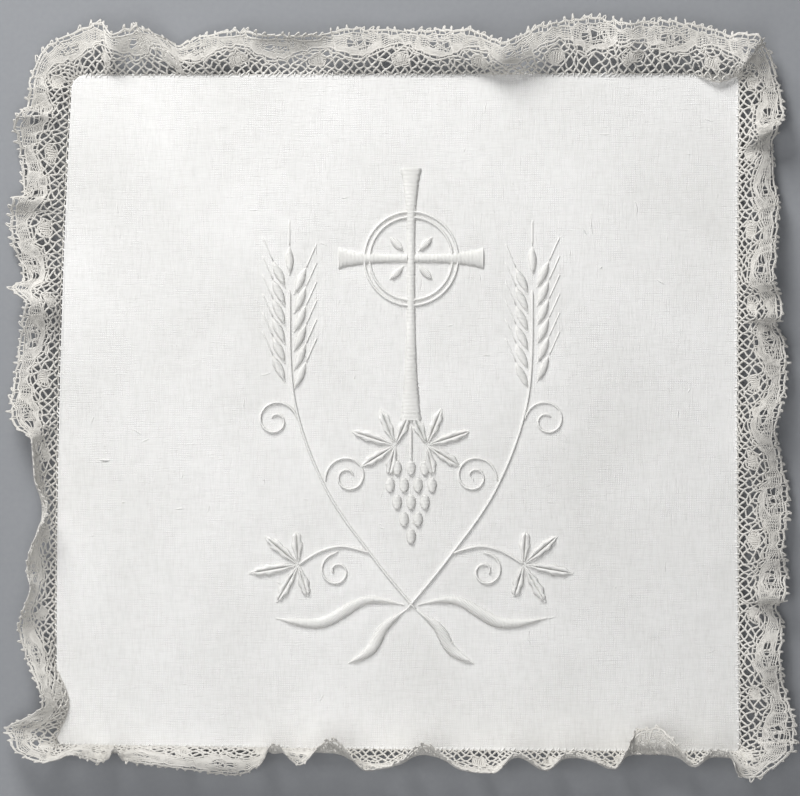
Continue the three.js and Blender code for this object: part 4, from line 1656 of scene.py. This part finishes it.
@dataclass
class LinenSlubs:
    """Thick places, knots and loose fibre ends of the linen's own yarn, in mm."""

    panel: LinenPanel
    marked: tuple[tuple[float, float, float, float, float], ...] = (
        (-66.2, -10.8, 2.4, -6, 0.28),
        (-59.0, -4.6, 2.4, -35, 0.13),
        (-49.3, -21.7, 2.4, 6, 0.14),
        (-62.0, -20.2, 0.5, 0, 0.16),
        (51.9, 45.3, 3.2, -80, 0.15),
        (57.5, 28.8, 2.2, -28, 0.16),
        (42.2, 41.9, 5.0, -86, 0.14),
        (44.2, 32.0, 0.6, 20, 0.18),
    )
    strays: int = 90
    stray_lengths: tuple[float, float] = (0.4, 2.6)
    stray_radii: tuple[float, float] = (0.06, 0.13)
    stray_turn: float = 14.0
    margin: float = 4.0
    bow: float = 0.12
    rise: tuple[float, float] = (0.3, 0.5)
    squash: float = 0.8
    taper: tuple[float, float] = (0.6, 1.5)
    samples: int = 7

    def build(self, material: bpy.types.Material) -> bpy.types.Object:
        """Lays the marked slubs and a scatter of smaller ones along the weave, half sunk in the cloth.

        Args:
            material: the linen's finish.

        Returns:
            The slubs as one piece.
        """
        rng = np.random.default_rng(SEED + 5)
        share = rng.uniform(0, 1, (2, self.strays))
        flat = self.panel.outline.inside(share[0], share[1], self.margin)
        rows = [(x, y, rng.uniform(*self.stray_lengths),
                 rng.choice((0, 90)) + rng.normal(0, self.stray_turn), rng.uniform(*self.stray_radii))
                for x, y in flat]
        threads = ThreadBundle()
        run = np.linspace(-1, 1, self.samples)
        thin, power = self.taper
        for x, y, length, turn, radius in (*self.marked, *rows):
            way = np.array((math.cos(math.radians(turn)), math.sin(math.radians(turn))))
            side = np.array((-way[1], way[0])) * self.bow * length * rng.uniform(-1, 1)
            line = np.array((x, y)) + run[:, None] * way * length / 2 + (1 - run ** 2)[:, None] * side
            height = self.panel.swell(line) + radius * (self.rise[0] - self.rise[1] * run ** 2)
            threads.add(np.column_stack((line, height)), radius, self.squash,
                        taper=1 - thin * np.abs(run) ** power)
        piece = threads.build("linen_slubs", lie_flat)
        dress(piece, material)
        return piece


@dataclass
class SeamStitches:
    """Small overcast stitches that hold the lace's footing to the linen's edge, in mm."""

    outline: PanelOutline
    pitch: float = 1.25
    jitter: float = 0.45
    radius: float = 0.15
    linen_bite: float = 0.6
    lace_bite: float = 0.45
    slant: float = 0.55
    slant_range: tuple[float, float] = (-0.4, 1.2)
    linen_top: float = LINEN_THICKNESS
    rises: tuple[float, ...] = (-0.1, 0.06, 0.1, 0.02, -0.2)
    sunk: float = 0.4

    def build(self, material: bpy.types.Material) -> bpy.types.Object:
        """Works the stitches all round, lower on the left, where the footing lies under the linen's edge.

        Args:
            material: the sewing thread's finish.

        Returns:
            The stitches as one piece.
        """
        rng = np.random.default_rng(SEED + 3)
        threads = ThreadBundle()
        count = int(self.outline.total / self.pitch)
        seam = (np.arange(count) + rng.uniform(-self.jitter, self.jitter, count)) * self.pitch
        foot, way, out = self.outline.at(seam)
        heights = np.array(self.rises) + self.linen_top
        steps = np.linspace(-1, 1, len(heights))
        reach = np.where(steps < 0, steps * self.linen_bite, steps * self.lace_bite)
        slants = rng.uniform(*self.slant_range, count) * self.slant
        drops = self.sunk * (seam > self.outline.corner_at[Side.LEFT.value])
        for f, w, o, slant, drop in zip(foot, way, out, slants, drops):
            flat = f + o * reach[:, None] + w * (slant * steps)[:, None]
            threads.add(np.column_stack((flat, heights - drop)), self.radius)
        piece = threads.build("seam_stitches", lie_flat)
        dress(piece, material)
        return piece


# Studio


@dataclass(frozen=True)
class Lamp:
    """A square soft light that faces the part, in metres and watts."""

    name: str
    place: tuple[float, float, float]
    size: float
    watts: float

    def hang(self) -> None:
        """Hangs the light."""
        data = bpy.data.lights.new(self.name, "AREA")
        data.size, data.energy = self.size, self.watts
        lamp = link_object(self.name, data)
        lamp.location = self.place
        lamp.rotation_euler = Vector(self.place).to_track_quat("Z", "Y").to_euler()


@dataclass
class Studio:
    """Pale floor, soft light that rakes from the top of the design, and a camera straight above."""

    lamps: tuple[Lamp, ...] = (
        Lamp("key", (-0.2, 0.5, 0.3), 0.26, 3.9),
        Lamp("overhead", (-0.1, -0.15, 0.42), 0.4, 0.92),
        Lamp("front", (0.5, -0.8, 0.6), 0.8, 0.25),
    )
    surround: tuple[float, float, float, float] = (0.9, 0.93, 1.0, 1.0)
    surround_strength: float = 0.13
    camera_height: float = 0.75
    camera_clip: tuple[float, float] = (0.01, 20.0)
    aim_pixel: tuple[float, float] = (402.0, 411.5)
    floor_size: float = 6.0

    def build(self) -> None:
        """Sets up the floor, the lights and the camera."""
        self.lay_floor()
        for lamp in self.lamps:
            lamp.hang()
        world = bpy.data.worlds.new("soft_surround")
        world.use_nodes = True
        background = world.node_tree.nodes["Background"]
        background.inputs["Color"].default_value = self.surround
        background.inputs["Strength"].default_value = self.surround_strength
        bpy.context.scene.world = world
        bpy.context.scene.view_settings.view_transform = "Standard"
        self.set_camera()

    def lay_floor(self) -> None:
        """Lays the floor under the part."""
        shape = bmesh.new()
        bmesh.ops.create_grid(shape, x_segments=2, y_segments=2, size=self.floor_size / 2)
        floor = mesh_object("floor", shape)
        floor.data.materials.append(PaperFinish().material())

    def set_camera(self) -> None:
        """Sets the camera over the middle of the photograph's frame, looking straight down."""
        data = bpy.data.cameras.new("camera")
        frame_width = PHOTO_WIDTH / PHOTO_PIXELS_PER_MM * MM
        data.lens = data.sensor_width * self.camera_height / frame_width
        camera = link_object("camera", data)
        x = (PHOTO_WIDTH / 2 - self.aim_pixel[0]) / PHOTO_PIXELS_PER_MM * MM
        y = (self.aim_pixel[1] - PHOTO_HEIGHT / 2) / PHOTO_PIXELS_PER_MM * MM
        camera.location = (x, y, self.camera_height + LINEN_THICKNESS * MM)
        data.clip_start, data.clip_end = self.camera_clip
        bpy.context.scene.camera = camera


def main() -> None:
    """Builds the pall and its studio, and reports each piece."""
    logging.basicConfig(level=logging.INFO, format="%(name)s: %(message)s")
    Studio().build()
    outline = PanelOutline()
    stitch_thread, lace_thread = STITCH_THREAD.material(), LACE_THREAD.material()
    embroidery = Embroidery()
    worked = embroidery.build(stitch_thread)
    panel, cloth = LinenPanel(outline), LINEN.material()
    linen = panel.build(cloth, embroidery.stitched())
    slubs = LinenSlubs(panel).build(cloth)
    seam = SeamStitches(outline).build(stitch_thread)
    LaceFrill(FrillSurface(outline)).build(lace_thread)


if __name__ == "__main__":
    main()
